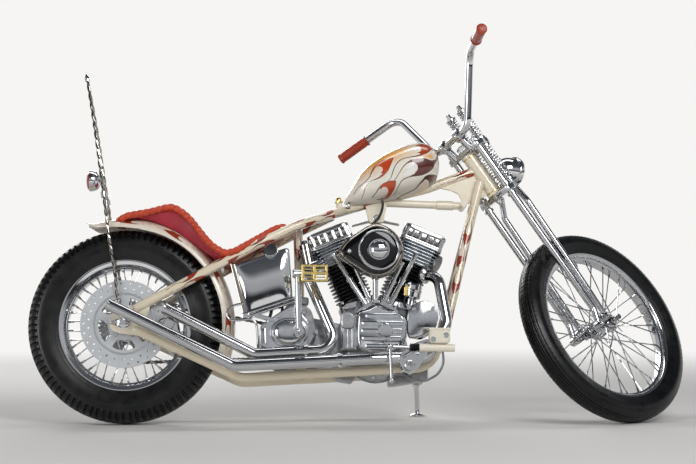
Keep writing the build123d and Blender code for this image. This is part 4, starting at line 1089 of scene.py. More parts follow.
@dataclass
class Running:
    """Everything that turns: both tyres and wheels, the brake disc and the sprocket."""

    disc_radius: float = 146.0
    disc_near: float = -82.0
    disc_face: float = -76.0
    disc_holes: int = 26
    disc_arms: int = 5
    sprocket_radius: float = 104.0
    teeth: int = 48

    def rim_loop(self, radius: float, half: float, bead: float) -> tuple[Pair, ...]:
        """Right half of a rim's closed section, from its inner middle to its outer middle."""
        return ((0, bead - 15.5), (0.44 * half, bead - 14.5), (0.5 * half, bead - 8), (0.86 * half, bead - 5),
                (0.95 * half, bead - 1.5), (half - 0.8, radius - 7), (half, radius - 4), (half, radius - 1),
                (half - 1.6, radius + 0.8), (half - 3.6, radius - 0.6), (half - 4.6, bead + 4),
                (0.8 * half, bead - 0.8), (0.56 * half, bead - 3), (0.4 * half, bead - 10), (0, bead - 12))

    def wheels(self) -> None:
        """Make both tyres and both wheels."""
        rear_tread = ((-45, 206.6), (-50, 213), (-53, 226), (-54.4, 230), (-55, 233), (-60, 252),
                      (-62.8, 270), (-62, 284), (-60.8, 288), (-60.5, 292), (-57, 300), (-53, 306),
                      (-44, 314), (-34, 319.5), (-28.6, 322.2), (-27.2, 322.7), (-24.5, 323.5),
                      (-21.6, 323.9), (-17, 324.4), (-12.2, 324.7), (-10, 324.8), (-7.6, 324.9), (0, 325))
        whole = rear_tread + tuple((-side, r) for side, r in reversed(rear_tread[:-1])) + ((0, 205.6),)
        Tyre("rear_tyre_dressed", "rear_tyre", "rear_wheel", REAR_AXLE, STANCE.chassis(),
             radius=STANCE.rear_tyre_radius, profile=whole + (rear_tread[0],), tread=Tread.BLOCKS, pitches=88,
             steps_per_pitch=8).build()
        half = [(-26, 268.4), (-30, 273), (-33, 281), (-34.6, 284), (-38, 294), (-42.4, 306), (-43, 316),
                (-41, 324), (-38, 331)]
        for side in np.arange(35, 0, -1.75):
            half.append((-float(side), 350 - 16 * (float(side) / 38) ** 2.7))
        half.append((0, 350))
        whole = tuple(half) + tuple((-side, r) for side, r in reversed(half[:-1])) + ((0, 267.6), half[0])
        Tyre("front_tyre_dressed", "front_tyre", "front_wheel", FRONT_AXLE, STANCE.steered(),
             radius=STANCE.front_tyre_radius, profile=whole, tread=Tread.RIBS, pitches=130,
             steps_per_pitch=3).build()
        SpokedWheel("rear_wheel_dressed", "rear_wheel_spoked", "rear_wheel", REAR_AXLE, STANCE.chassis(),
                    rim=self.rim_loop(220, 52, 206), well_radius=192, rim_half=52, hub_radius=27,
                    flange_radius=46, hub_half=72, bore=10.1).build()
        SpokedWheel("front_wheel_dressed", "front_wheel_spoked", "front_wheel", FRONT_AXLE, STANCE.steered(),
                    rim=self.rim_loop(280, 30, 268), well_radius=254, rim_half=30, hub_radius=20,
                    flange_radius=34, hub_half=46, bore=8.1).build()

    def disc(self) -> None:
        """Drilled brake disc on a five-window carrier."""
        x, z = REAR_AXLE
        holes = []
        for k in range(self.disc_holes):
            for row, r in enumerate((135, 119)):
                angle = math.radians(360 / self.disc_holes * (k + 0.5 * row))
                holes.append(circle(x + r * math.cos(angle), z + r * math.sin(angle), 3.3, 10))
        arm_step = 360.0 / self.disc_arms
        for k in range(self.disc_arms):
            middle = arm_step * k + 54.0
            corners = [about_wheel(middle + swing, r, 0, REAR_AXLE)[::2]
                       for r, swings in ((88, (-27, -9, 9, 27)), (56, (24, 0, -24))) for swing in swings]
            holes.append(rounded(corners, 8))
        holes.append(circle(x, z, 17.5, 24))
        face = plate(circle(x, z, self.disc_radius, 120), self.disc_near, self.disc_face, holes, 0.5)
        ring = turned([(self.disc_near - 0.8, 97), (self.disc_near - 0.8, 103), (self.disc_near + 0.5, 104),
                       (self.disc_near + 0.5, 96)], (x, 0, z), LEFT, 96, closed=True)
        boss = turned([(self.disc_near - 4, 18), (self.disc_near - 4, 34), (self.disc_near - 1, 38),
                       (-72, 40), (-72, 18)], (x, 0, z), LEFT, 64, closed=True)
        piece = Piece("brake_disc_dressed", "rear_wheel", STANCE.chassis())
        piece.add(face, DISC_STEEL).add(ring, CHROME).add(boss, CHROME)
        for k in range(self.disc_arms):
            at = about_wheel(arm_step * k + 18, 46, self.disc_near, REAR_AXLE)
            piece.add(bolt(at, RIGHT, 11, 4.5), CHROME)
        piece.build("brake_disc", slot="bright_steel")

    def sprocket(self) -> None:
        """Toothed chain wheel on the hidden side."""
        x, z = REAR_AXLE
        outline = []
        for tooth in range(self.teeth):
            for share, lift in ((0, -7), (0.22, -5.5), (0.36, 0.5), (0.5, 1.5), (0.64, 0.5), (0.78, -5.5)):
                angle = 2 * math.pi * (tooth + share) / self.teeth
                outline.append((x + (self.sprocket_radius + lift) * math.cos(angle),
                                z + (self.sprocket_radius + lift) * math.sin(angle)))
        holes = [circle(*about_wheel(60 * k + 30, 68, 0, REAR_AXLE)[::2], 17, 24) for k in range(6)]
        holes.append(circle(x, z, 17.5, 24))
        piece = Piece("rear_sprocket_dressed", "rear_wheel", STANCE.chassis())
        piece.add(plate(outline, 77.5, 84.5, holes, 1), GROUND_STEEL)
        piece.add(square_ring((x, 0, z), LEFT, 18, 40, 72, 81, 48), GROUND_STEEL)
        for k in range(6):
            piece.add(bolt(about_wheel(60 * k, 33, 84, REAR_AXLE), LEFT, 11, 2.6), CHROME)
        piece.build("rear_sprocket", slot="bright_steel")

    def build(self) -> None:
        """Make all the turning pieces."""
        self.wheels()
        self.disc()
        self.sprocket()


NECK_LOW = 582.0
NECK_HIGH = 746.0


def fork_at(ahead: float, left: float, along: float) -> Triple:
    """A fork point in the upright straight-ahead drawing."""
    rake = math.radians(STANCE.rake)
    foot = STANCE.steering_foot()
    return (foot.x + ahead * math.cos(rake) - along * math.sin(rake), left, foot.z + ahead * math.sin(rake)
            + along * math.cos(rake))


def tube_licks(radius: float, starts: Sequence[float], heading: float = 1.0,
               reach: float = 1.35) -> FlameField:
    """Licks laid along a tube.

    Args:
        radius: The tube's radius.
        starts: Distances along the tube at which the roots stand.
        heading: 1 where the tails trail back towards the start, -1 for the other way.
        reach: How long the licks are against the plain pattern.

    Returns:
        The licks in coordinates of distance along the tube and distance round it.
    """
    licks = []
    around = math.pi * radius
    for place, start in enumerate(starts):
        for turn in (-1, 0.1, 1.2):
            mid = turn * 0.62 * around + (6 if place % 2 else -3)
            at = start + (16 if turn > 0.5 else 0) * heading

            def mark(back: float, across: float, size: float) -> Triple:
                """A brush mark by its distance behind the lick's place, beside it, and its size."""
                return (at - heading * back * reach, mid + across * 1.2, size * 1.25)

            upper = (mark(-26, 2, 0.5), mark(-10, 5, 4.2), mark(6, 8.5, 2.6), mark(22, 10, 1.2),
                     mark(44, 5, 0.7), mark(70, 8, 0.6), mark(96, 3, 0.3))
            lower = (mark(-26, 2, 0.5), mark(-12, -3, 4.2), mark(2, -8.5, 3), mark(20, -9, 1.2),
                     mark(40, -3, 0.8), mark(62, -6, 0.6), mark(84, -2, 0.3))
            drop = (mark(10, 0, 6.6), mark(26, 0.5, 5.2), mark(42, 0.5, 1.5))
            licks.append(Lick(0.55, 0.35, upper, lower, drop))
    return FlameField(tuple(licks))


def painted_tube(path: Sequence[Vector], radius: float, starts: Sequence[float],
                 heading: float = 1.0) -> tuple[Shape, dict[str, np.ndarray]]:
    """A lacquered frame tube with licks stored at its points.

    Args:
        path: Centre line.
        radius: The tube's radius.
        starts: Where along it the flame roots stand.
        heading: Which way the tails trail.

    Returns:
        The tube and the values stored at its points.
    """
    line = even_path(path, TUBE_SPACING)
    shape = swept(line, radius, TUBE_SIDES)
    along = np.repeat(run_along(line), TUBE_SIDES)
    turn = np.tile((np.arange(TUBE_SIDES) / TUBE_SIDES - 0.5) * 2 * math.pi * radius, len(line))
    field_values = tube_licks(radius, starts, heading).sample(np.stack([along, turn], axis=1))
    field_values["gold_tone"] = np.full(len(shape.points), 0.12)
    field_values["shade_tone"] = np.zeros(len(shape.points))
    return shape, field_values


@dataclass
class Frame:
    """Rigid twin-cradle frame in flamed lacquer, with its neck, plates and axle."""

    tube_radius: float = 15.9
    rail_span: float = 100.0
    stay_span: float = 112.0
    axle_z: float = REAR_AXLE[1]
    cross_tube_radius: float = 376.3
    engine_mount: Pair = (840, 704)

    def tube(self, piece: Piece, path: Sequence[Vector], starts: Sequence[float],
             heading: float = 1.0) -> None:
        """Add one flamed tube to a piece."""
        shape, stored = painted_tube(path, self.tube_radius, starts, heading)
        piece.add(shape, FRAME_LACQUER, stored=stored)

    def backbone(self) -> None:
        """Neck, top tube, lower tube, seat post, gussets and the engine's top mount."""
        piece = Piece("frame_backbone_dressed")
        low, high = fork_at(0, 0, NECK_LOW), fork_at(0, 0, NECK_HIGH)
        neck_axis = Vector(high) - Vector(low)
        length = neck_axis.length
        neck = turned([(0, 16), (0, 27), (1.5, 27.9), (9, 27.9), (11, 26.2), (length - 11, 26.2),
                       (length - 9, 27.9), (length - 1.5, 27.9), (length, 27), (length, 16)], low, neck_axis,
                      56)
        plain = {"gold_tone": np.full(len(neck.points), 0.05)}
        piece.add(neck, FRAME_LACQUER, stored=plain)
        for distance in (10.5, length - 13.5):
            piece.add(square_ring(low, neck_axis, 26.4, 27.2, distance, distance + 3, 48), BRASS)
        top = bent_path([fork_at(0, 0, NECK_HIGH - 62), (1010, 0, 809), (845, 0, 766), (572, 0, 680)], 260)
        self.tube(piece, top, (60, 430), -1)
        # The lower tube with its sleeve, and the cross tube behind the neck.
        for start, end, radius in (((848, 0, 759), (1138, 0, 752), 13),
                                   ((1046, 0, 754.2), (1104, 0, 752.8), 16),
                                   ((1137, -46, 752), (1137, 46, 752), 12)):
            piece.add(rod(start, end, radius, sides=40), FRAME_LACQUER)
        self.tube(piece, [Vector((572, 0, 676)), Vector((590, 0, 168))], (90,))
        # Cross tubes at the seat post's two ends.
        for x, half, z in ((578, 66, 664), (590, 88, 168)):
            piece.add(rod((x, -half, z), (x, half, z), 12, sides=32), FRAME_LACQUER)
        self.gussets(piece)
        piece.build("frame_backbone", slot="cream_paint")

    def gussets(self, piece: Piece) -> None:
        """Plates that brace the neck, and the engine's top mount with its bolt and strap."""
        low, head = fork_at(0, 0, NECK_LOW + 8), fork_at(-24, 0, NECK_HIGH - 64)
        web = [low[::2], head[::2], (1075, 833), (1062, 812), (1098, 805), (1122, 794), (1132, 774),
               (1131, 754), (1138, 752)]
        for side in (-5.5, 3.5):
            piece.add(plate(rounded(web, 3), side, side + 2.6, bevel=0.8), FRAME_LACQUER)
        mount = rounded([(800, 756), (878, 764), (864, 690), (815, 688)], 6)
        slot_hole = circle(*self.engine_mount, 5, 16)
        for side in (-14, 9):
            piece.add(plate(mount, side, side + 4.5, [slot_hole], 0.8), FRAME_LACQUER)
        x, z = self.engine_mount
        piece.add(bolt((x, -14, z), RIGHT, 17, 9), CHROME)
        piece.add(bolt((x, 13, z), LEFT, 17, 9), CHROME)
        piece.add(rod((x, -14, z), (x, 14, z), 6), CHROME)
        strap = rounded([(756, 674), (818, 690), (840, 697), (862, 690), (918, 680), (918, 686), (864, 698),
                         (840, 712), (816, 698), (756, 680)], 2.5)
        piece.add(plate(strap, -9, 9, [circle(x, z, 6.2, 16)], 1), SMOKED_CHROME)

    def cradle(self, side: int) -> None:
        """One side: downtube, lower rail, stays, axle plate and, on the right, the fender's cross tubes."""
        label = "right" if side < 0 else "left"
        piece = Piece(f"frame_cradle_{label}_dressed")
        loop = bent_path([fork_at(-22, side * 15, NECK_LOW + 64), fork_at(-150, side * 22, NECK_LOW - 49),
                          (1062, side * 88, 300), (1010, side * self.rail_span, 187),
                          (386, side * self.rail_span, 148), (40, side * self.stay_span, 303)], 80)
        self.tube(piece, loop, (205, 285, 385, 500))
        stay = bent_path([(690, side * 20, 714), (570, side * 78, 664), (430, side * self.rail_span, 592),
                          (40, side * self.stay_span, 372)], 150)
        self.tube(piece, stay, (20, 130, 285, 420, 545), -1)
        for end, run in ((Vector((40, side * self.stay_span, 372)), stay[-1] - stay[-2]),
                         (Vector((40, side * self.stay_span, 303)), loop[-1] - loop[-2])):
            dome = [(self.tube_radius * math.sin(a) * 0.7, self.tube_radius * math.cos(a))
                    for a in np.linspace(0, 1.55, 8)]
            piece.add(turned(dome, end, run, 40), FRAME_LACQUER)
        plate_points = ((-44, -22), (-20, -34), (70, -46), (86, -20), (70, 8), (88, 52), (68, 70),
                        (-20, 36), (-44, 20))
        outline = rounded([(x, self.axle_z + z) for x, z in plate_points], 14)
        near = side * self.stay_span - 5.0
        slot_hole = rounded([(x, self.axle_z + z)
                             for x, z in ((-30, -10.4), (12, -10.4), (12, 10.4), (-30, 10.4))], 9)
        piece.add(plate(outline, near, near + 10, [slot_hole], 1.2), FRAME_LACQUER)
        if side < 0:
            for angle in (-22, 33):
                x, _, z = about_wheel(angle, self.cross_tube_radius, 0, REAR_AXLE)
                piece.add(rod((x, -98, z), (x, 96, z), 10, sides=32), FRAME_LACQUER)
                for turn in (-1, 1):
                    piece.add(bolt((x - 10 * math.cos(math.radians(angle)), turn * 30,
                                    z - 10 * math.sin(math.radians(angle))),
                                   about_wheel(angle + 180, 1, 0, (0, 0)), 10, 4), CHROME)
        else:
            bracket = rounded([(962, 186), (1010, 190), (1002, 156), (994, 143), (978, 143), (970, 156)], 6)
            piece.add(plate(bracket, 92, 104, bevel=1.5), FRAME_LACQUER)
            piece.add(rod((986, 92, 158), (986, 120, 158), 16, sides=36), FRAME_LACQUER)
        piece.build(f"frame_cradle_{label}", slot="cream_paint")

    def axle(self) -> None:
        """Rear axle with spacers, nuts and chain adjusters."""
        piece = Piece("rear_axle_dressed")
        end = self.stay_span + 24.0
        piece.add(rod((0, -end, self.axle_z), (0, end, self.axle_z), 10, sides=32), CHROME)
        for side in (-1, 1):
            piece.add(bolt((0, side * (self.stay_span + 5), self.axle_z), (0, side, 0), 33, 14), CHROME)
            piece.add(rod((0, side * (85 if side < 0 else 88), self.axle_z),
                          (0, side * (self.stay_span - 5), self.axle_z), 17, sides=36), CHROME)
            piece.add(rod((-34, side * (self.stay_span + 9), self.axle_z),
                          (-14, side * (self.stay_span + 9), self.axle_z), 3.5, sides=12), CHROME)
            piece.add(acorn((-36, side * (self.stay_span + 9), self.axle_z), BACK, 6), CHROME)
        piece.build("rear_axle", slot="chrome")

    def build(self) -> None:
        """Make the frame's pieces."""
        self.backbone()
        self.cradle(-1)
        self.cradle(1)
        self.axle()


def between(table: Sequence[Pair], at: np.ndarray | float) -> np.ndarray:
    """Value at a place in a table of place and value, along a smooth curve."""
    curve = np.array(smooth_path(table, 8))
    return np.interp(at, curve[:, 0], curve[:, 1])


@dataclass
class FuelTank:
    """Teardrop tank, flat under the tube and swelling forward, with its flames, cap and petcock."""

    top: tuple[Pair, ...] = ((729, 756), (733, 772), (743, 794), (782, 862), (843, 915), (911, 950),
                             (960, 965), (990, 965.5), (1014, 957), (1033, 935), (1042, 912), (1045, 884))
    bottom: tuple[Pair, ...] = ((729, 754), (745, 748), (777, 746), (845, 757), (913, 773), (980, 796),
                                (1012, 815), (1033, 838), (1043, 862), (1045, 882))
    spine: tuple[Pair, ...] = ((729, 755), (800, 800), (900, 850), (1045, 890))
    rear: float = 729.0
    drawn_length: float = 316.0
    length: float = 328.0
    fullness: float = 2.25
    rows: int = 200
    columns: int = 270
    flames: FlameField = FlameField((
        Lick(0.35, 0,
             ((1028, 938, 1.1), (1007, 947, 5.9), (992, 953, 2.9), (970, 957, 1.1), (944, 952, 0.7),
              (921, 937, 0.5)),
             ((1028, 938, 1.1), (1002, 919, 6.6), (985, 906, 3.3), (966, 900, 1.5), (937, 895, 1.1),
              (915, 887, 1.1), (900, 871, 1.1), (890, 851, 1.1), (883, 828, 0.8), (871, 812, 0.4)),
             ((973, 928, 13.2), (955, 929, 10.2), (932, 919, 5.1))),
        Lick(1, 1,
             ((1010, 937, 1.5), (1036, 937, 2.6), (1046, 922, 2.9), (1040, 898, 2.9), (1017, 879, 2.2),
              (998, 883, 1.5)),
             ((1010, 937, 1.5), (991, 910, 1.1)),
             ((1019, 903, 13.9), (1000, 901, 8.1), (981, 897, 2.9)), filled=False),
        Lick(0.1, 0.45,
             ((891, 897, 0.7), (872, 888, 5.1), (850, 882, 5.9), (832, 870, 3.7), (819, 850, 1.8),
              (810, 830, 1.1), (792, 812, 0.9), (771, 796, 0.8), (761, 778, 0.5)),
             ((891, 897, 0.7), (880, 876, 3.7), (869, 854, 5.1), (856, 837, 3.7), (838, 825, 1.8),
              (817, 817, 1.1), (799, 800, 1.1), (793, 778, 0.8), (786, 761, 0.4)),
             ((841, 855, 13.9), (833, 843, 8.8), (822, 830, 3.7))),
        Lick(0.95, 0,
             ((1036, 892, 1.5), (1003, 879, 8.8), (976, 883, 7.3), (954, 884, 3.7), (936, 875, 1.8),
              (921, 859, 1.1), (907, 836, 0.9), (893, 815, 0.7)),
             ((1036, 890, 1.5), (1015, 866, 10.2), (988, 848, 10.2), (966, 837, 4.4), (944, 830, 1.5),
              (922, 819, 1.1), (912, 805, 0.9), (902, 786, 0.8), (896, 774, 0.4)),
             ((955, 860, 17.6), (943, 845, 13.2), (929, 832, 5.1))),
        Lick(1, 0.6,
             ((1043, 847, 1.1), (1020, 834, 5.1), (1000, 827, 3.7), (985, 815, 1.8), (967, 797, 1.1),
              (946, 787, 1.1), (917, 775, 0.9), (896, 761, 0.5)),
             ((1043, 847, 1.5), (1035, 831, 5.9), (1023, 811, 4.4), (1007, 797, 1.8), (978, 783, 1.1),
              (948, 774, 0.9), (922, 766, 0.5)),
             ((1005, 813, 13.2), (991, 800, 8.8), (974, 789, 3.7))),
        Lick(0.15, 0.3,
             ((899, 815, 0.7), (882, 811, 5.1), (860, 804, 4.4), (846, 795, 2.2), (836, 782, 1.1),
              (822, 766, 0.9)),
             ((899, 815, 0.7), (893, 799, 5.1), (883, 782, 5.1), (874, 769, 2.6), (855, 764, 1.1),
              (837, 762, 0.5)),
             ((862, 784, 13.2), (851, 776, 7.3))),
    ))

    def skin(self) -> Shape:
        """The tank's surface from its outline in side view and its fullness across."""
        share = 0.5 - 0.5 * np.cos(np.linspace(0, np.pi, self.rows))
        x = self.rear + self.drawn_length * share
        upper, lower = between(self.top, x), between(self.bottom, x)
        x = self.rear + self.length * share
        middle, half = 0.5 * (upper + lower), np.maximum(0.5 * (upper - lower), 0.4)
        width = half * (1.18 + 0.15 * (x - 735) / 306)
        swing = 2.0 * np.pi * np.arange(self.columns) / self.columns
        power = 2.0 / self.fullness
        rows = []
        for place in range(self.rows):
            across = np.sign(np.cos(swing)) * np.abs(np.cos(swing)) ** power * width[place]
            rise = np.sign(np.sin(swing)) * np.abs(np.sin(swing)) ** power * half[place]
            rows.append(np.stack([np.full(self.columns, x[place]), across, middle[place] + rise], axis=1))
        skin = skinned(rows)
        return Shape(skin.points, [face[::-1] for face in skin.faces])

    def build(self) -> None:
        """Make the tank."""
        piece = Piece("fuel_tank_dressed")
        skin = self.skin()
        stored = self.flames.sample(skin.points[:, (0, 2)])
        x = skin.points[:, 0]
        rise = skin.points[:, 2] - between(self.spine, x)
        behind_nose = np.clip((1010 - x) / 120, 0.25, 1)
        stored["gold_tone"] = np.clip((rise - 20) / 44, 0, 1) * behind_nose
        # Painted shade: the tank's colour darkens towards its bottom, below its middle line.
        stored["shade_tone"] = np.clip((-rise - 46) / 40, 0, 1) * 0.5
        piece.add(skin, FLAMES, stored=stored)
        cap_axis = Vector((-0.3, 0.45, 1)).normalized()
        cap_at = Vector((900, 46, 926))
        ribs = turned([(-12, 22), (6, 24), (8, 27), (14, 27), (18, 24), (20, 16), (20.5, 0.1)], cap_at,
                      cap_axis, 48)
        piece.add(ribs, CHROME)
        piece.add(rod((716, 0, 732), (711, 0, 759), 12, 10), FRAME_LACQUER)
        piece.add(turned([(0, 14), (5, 14), (5, 10), (16, 10), (18, 8)], (712, 0, 757), (-0.15, 0, 1), 6),
                  BRASS)
        piece.add(rod((744, -30, 752), (744, -46, 738), 5), BLACK_CHROME)
        piece.add(rod((741, -50, 746), (741, -50, 728), 7.5), BLACK_CHROME)
        piece.add(bolt((741, -57, 737), RIGHT, 12, 5), CHROME)
        piece.build("fuel_tank", slot="flame_paint", sharp=60)


@dataclass
class RearFender:
    """Ribless crowned fender with rolled edges and a flipped tail, flamed along both edges."""

    crown: float = 366.0
    edge: float = 324.5
    half_width: float = 72.0
    wall: float = 2.4
    front: float = -23.0
    rear: float = 107.0
    flare_radius: float = 55.0
    flare: float = 32.0
    narrowing: float = 24.0
    narrowing_end: float = 50.0
    arc_step: float = 0.65
    lick_angles: tuple[float, ...] = (2, 30, 61.7, 89.7)
    lick_reach: float = 1.9

    def outline(self) -> list[Pair]:
        """Closed section as (side, radius): outside, a rolled bead, then inside."""
        swings = np.linspace(-0.5 * math.pi, 0.5 * math.pi, 41)
        rise = self.crown - self.edge
        outside = [(self.half_width * math.sin(a), self.edge + rise * math.cos(a)) for a in swings]
        inside = [((self.half_width - self.wall) * math.sin(a), self.edge + (rise - self.wall) * math.cos(a))
                  for a in swings[::-1]]
        return outside + inside

    def taper(self, share: float) -> list[Pair]:
        """Section drawn in towards the crown as the tail narrows."""
        ease = share * share * (3 - 2 * share)
        return [(side * (1 - 0.4 * ease), self.crown - (self.crown - r) * (1 - 0.86 * ease))
                for side, r in self.outline()]

    def build(self) -> None:
        """Make the fender."""
        outline = self.outline()
        rows, along = [], []
        for angle in np.arange(self.front, self.rear + 0.01, self.arc_step):
            drawn_in = self.taper(max(float(angle) - self.rear + self.narrowing, 0) / self.narrowing_end)
            rows.append(np.array([about_wheel(float(angle), r, side, REAR_AXLE) for side, r in drawn_in]))
            along.append(math.radians(float(angle) - self.front) * self.crown)
        reach = self.crown + self.flare_radius
        centre = about_wheel(self.rear, reach, 0, REAR_AXLE)
        for angle in np.arange(2, self.flare + 0.01, 2):
            turn = self.rear + 180.0 - float(angle)
            past = (self.narrowing_end - self.narrowing) * float(angle) / self.flare
            drawn_in = self.taper((self.narrowing + past) / self.narrowing_end)
            rows.append(np.array([about_wheel(turn, reach - r, side, (centre[0], centre[2]))
                                  for side, r in drawn_in]))
            along.append(along[-1] + math.radians(2) * self.flare_radius)
        skin = skinned(rows)
        half = len(outline) // 2
        swings = np.linspace(-1, 1, half) * 94.0
        across = np.tile(np.concatenate([swings, np.full(len(outline) - half, 600)]), len(rows))
        run = np.repeat(along, len(outline))
        starts = [math.radians(angle - self.front) * self.crown for angle in self.lick_angles]
        stored = tube_licks(33, starts, 1, self.lick_reach).sample(np.stack([run, across], axis=1))
        stored["gold_tone"] = np.clip(np.full(len(run), 0.12) + 0.1 * np.cos(across / 40), 0, 1)
        piece = Piece("rear_fender_dressed")
        piece.add(skin, FLAMES, stored=stored)
        for side in (-1, 1):
            bead = [about_wheel(float(a), self.edge + 0.5, side * (self.half_width - 1.2), REAR_AXLE)
                    for a in np.arange(self.front, self.rear - self.narrowing, 1.5)]
            piece.add(swept(bead, 2.6, 10), FLAMES)
        piece.build("rear_fender", slot="flame_paint", sharp=60)


@dataclass
class Seat:
    """Low cobra seat: red hide over foam, its rim whip-laced with broad orange hide."""

    top: tuple[Pair, ...] = ((-24, 690), (0, 702), (73, 716), (120, 729), (147, 732), (172, 722), (206, 694),
                             (241, 650), (266, 618), (292, 593), (326, 574), (352, 576), (376, 587),
                             (442, 629), (491, 662), (521, 674))
    bottom: tuple[Pair, ...] = ((-24, 684), (32, 684), (73, 678), (109, 666), (176, 632), (244, 582),
                                (294, 548), (326, 543), (377, 566), (459, 616), (521, 658))
    width: tuple[Pair, ...] = ((-24, 58), (0, 68), (60, 72), (150, 74), (210, 82), (270, 104), (330, 117),
                               (390, 112), (450, 88), (500, 62), (521, 48))
    tail: float = -24.0
    nose: float = 521.0
    end_lip: float = 6.0
    seam: float = 318.0
    lace_pitch: float = 21.0
    lace_radius: float = 12.9
    lace_dip: float = 4.2

    def station(self, x: float) -> tuple[float, float, float]:
        """Top, bottom and half width of the seat at one place."""
        return float(between(self.top, x)), float(between(self.bottom, x)), float(between(self.width, x))

    def cushion(self) -> Shape:
        """Foam body under the hide, pulled in under the laced rim."""
        rows = []
        ends = (self.tail - self.end_lip, self.nose + self.end_lip)
        for x in np.concatenate([ends[:1], np.linspace(self.tail, self.nose, 48), ends[1:]]):
            top, low, half = self.station(float(min(max(x, self.tail), self.nose)))
            shrink = 0.6 if x in ends else 1.0
            dish = -7.0 if x > 250.0 else 7.0
            height = max(top - low, 12)
            section = []
            for share in np.linspace(-1, 1, 17):
                rise = dish * (1 - share ** 2)
                section.append((x, share * (half - 4) * shrink, top - 4 * (3 - 2 * shrink) + rise))
            for share in np.linspace(0, 1, 6)[1:]:
                bulge = 5.0 * math.sin(math.pi * share)
                section.append((x, (half - 5 - 14 * share + bulge) * shrink, top - 9 - share * (height - 10)))
            for share in np.linspace(0, 1, 9)[1:-1]:
                section.append((x, (half - 19) * shrink * (1 - 2 * share), low + 1))
            for share in np.linspace(1, 0, 6)[:-1]:
                bulge = 5.0 * math.sin(math.pi * share)
                section.append((x, -(half - 5 - 14 * share + bulge) * shrink,
                                top - 9 - share * (height - 10)))
            rows.append(np.array(section))
        return skinned(rows)

    def rim_line(self) -> list[Vector]:
        """Closed line of the laced rim round the top."""
        right = []
        for x in np.linspace(self.tail, self.nose, 70):
            top, _, half = self.station(float(x))
            right.append((float(x), -half, top - self.lace_radius + 1.5))
        left = [(x, -y, z) for x, y, z in reversed(right)]
        nose = [(529, -26, right[-1][2] + 1), (530, 0, right[-1][2] + 2), (529, 26, right[-1][2] + 1)]
        tail = [(-33, 34, right[0][2] - 2), (-35, 0, right[0][2] - 1), (-33, -34, right[0][2] - 2)]
        return even_path([Vector(point) for point in right + nose + left + tail + [right[0]]], 2.4)

    def build(self) -> None:
        """Make the cushion with its laced rim."""
        piece = Piece("seat_dressed")
        cushion = self.cushion()
        middles = [np.mean(cushion.points[list(face), 0]) for face in cushion.faces]
        front = [face for face, x in zip(cushion.faces, middles) if x > self.seam]
        back = [face for face, x in zip(cushion.faces, middles) if x <= self.seam]
        piece.add(Shape(cushion.points, back), SEAT_HIDE)
        piece.add(Shape(cushion.points, front), LACE_HIDE)
        top, _, half = self.station(self.seam)
        seam = [Vector((self.seam, share * (half - 6), top - 3.6 - 7 * (1 - share ** 2)))
                for share in np.linspace(-1, 1, 40)]
        piece.add(swept(seam, 2.6, 12), LACE_HIDE)
        line = self.rim_line()
        run = run_along(line)
        pitch = run[-1] / round(run[-1] / self.lace_pitch)
        sizes = self.lace_radius - self.lace_dip + self.lace_dip * np.abs(np.sin(np.pi * run / pitch)) ** 0.38
        piece.add(swept(line, sizes, 12), LACE_HIDE)
        made = piece.build("seat", slot="red_leather", sharp=70, rounds=1)


def slab(outline: Sequence[Pair], low: float, high: float, bevel: float = 0.8) -> Shape:
    """A flat piece drawn in plan, between two heights, with eased edges."""
    return plate(outline, low, high, bevel=bevel).moved(Matrix.Rotation(math.radians(90), 4, "X"))


def oblong(width: float, depth: float, radius: float, x: float = 0.0, z: float = 0.0) -> list[Pair]:
    """Outline of a rectangle with rounded corners round a centre."""
    half_x, half_z = 0.5 * width, 0.5 * depth
    return rounded([(x - half_x, z - half_z), (x + half_x, z - half_z), (x + half_x, z + half_z),
                    (x - half_x, z + half_z)], radius, 6)


def flowing(outline: Sequence[Pair], steps: int = 8) -> list[Pair]:
    """A closed outline drawn smoothly through its points."""
    ring = [outline[-2], outline[-1], *outline, outline[0], outline[1], outline[2]]
    line = smooth_path(ring, steps)
    return [tuple(point) for point in line[2 * steps:(len(outline) + 2) * steps]]


def layered(outline: Sequence[Pair], steps: Sequence[Pair]) -> Shape:
    """An outline carried to side coordinates while it shrinks towards its middle."""
    flat = np.array(outline)
    middle = flat.mean(axis=0)
    rows = []
    for side, scale in steps:
        ring = middle + (flat - middle) * scale
        rows.append(np.stack([ring[:, 0], np.full(len(ring), side), ring[:, 1]], axis=1))
    return skinned(rows)


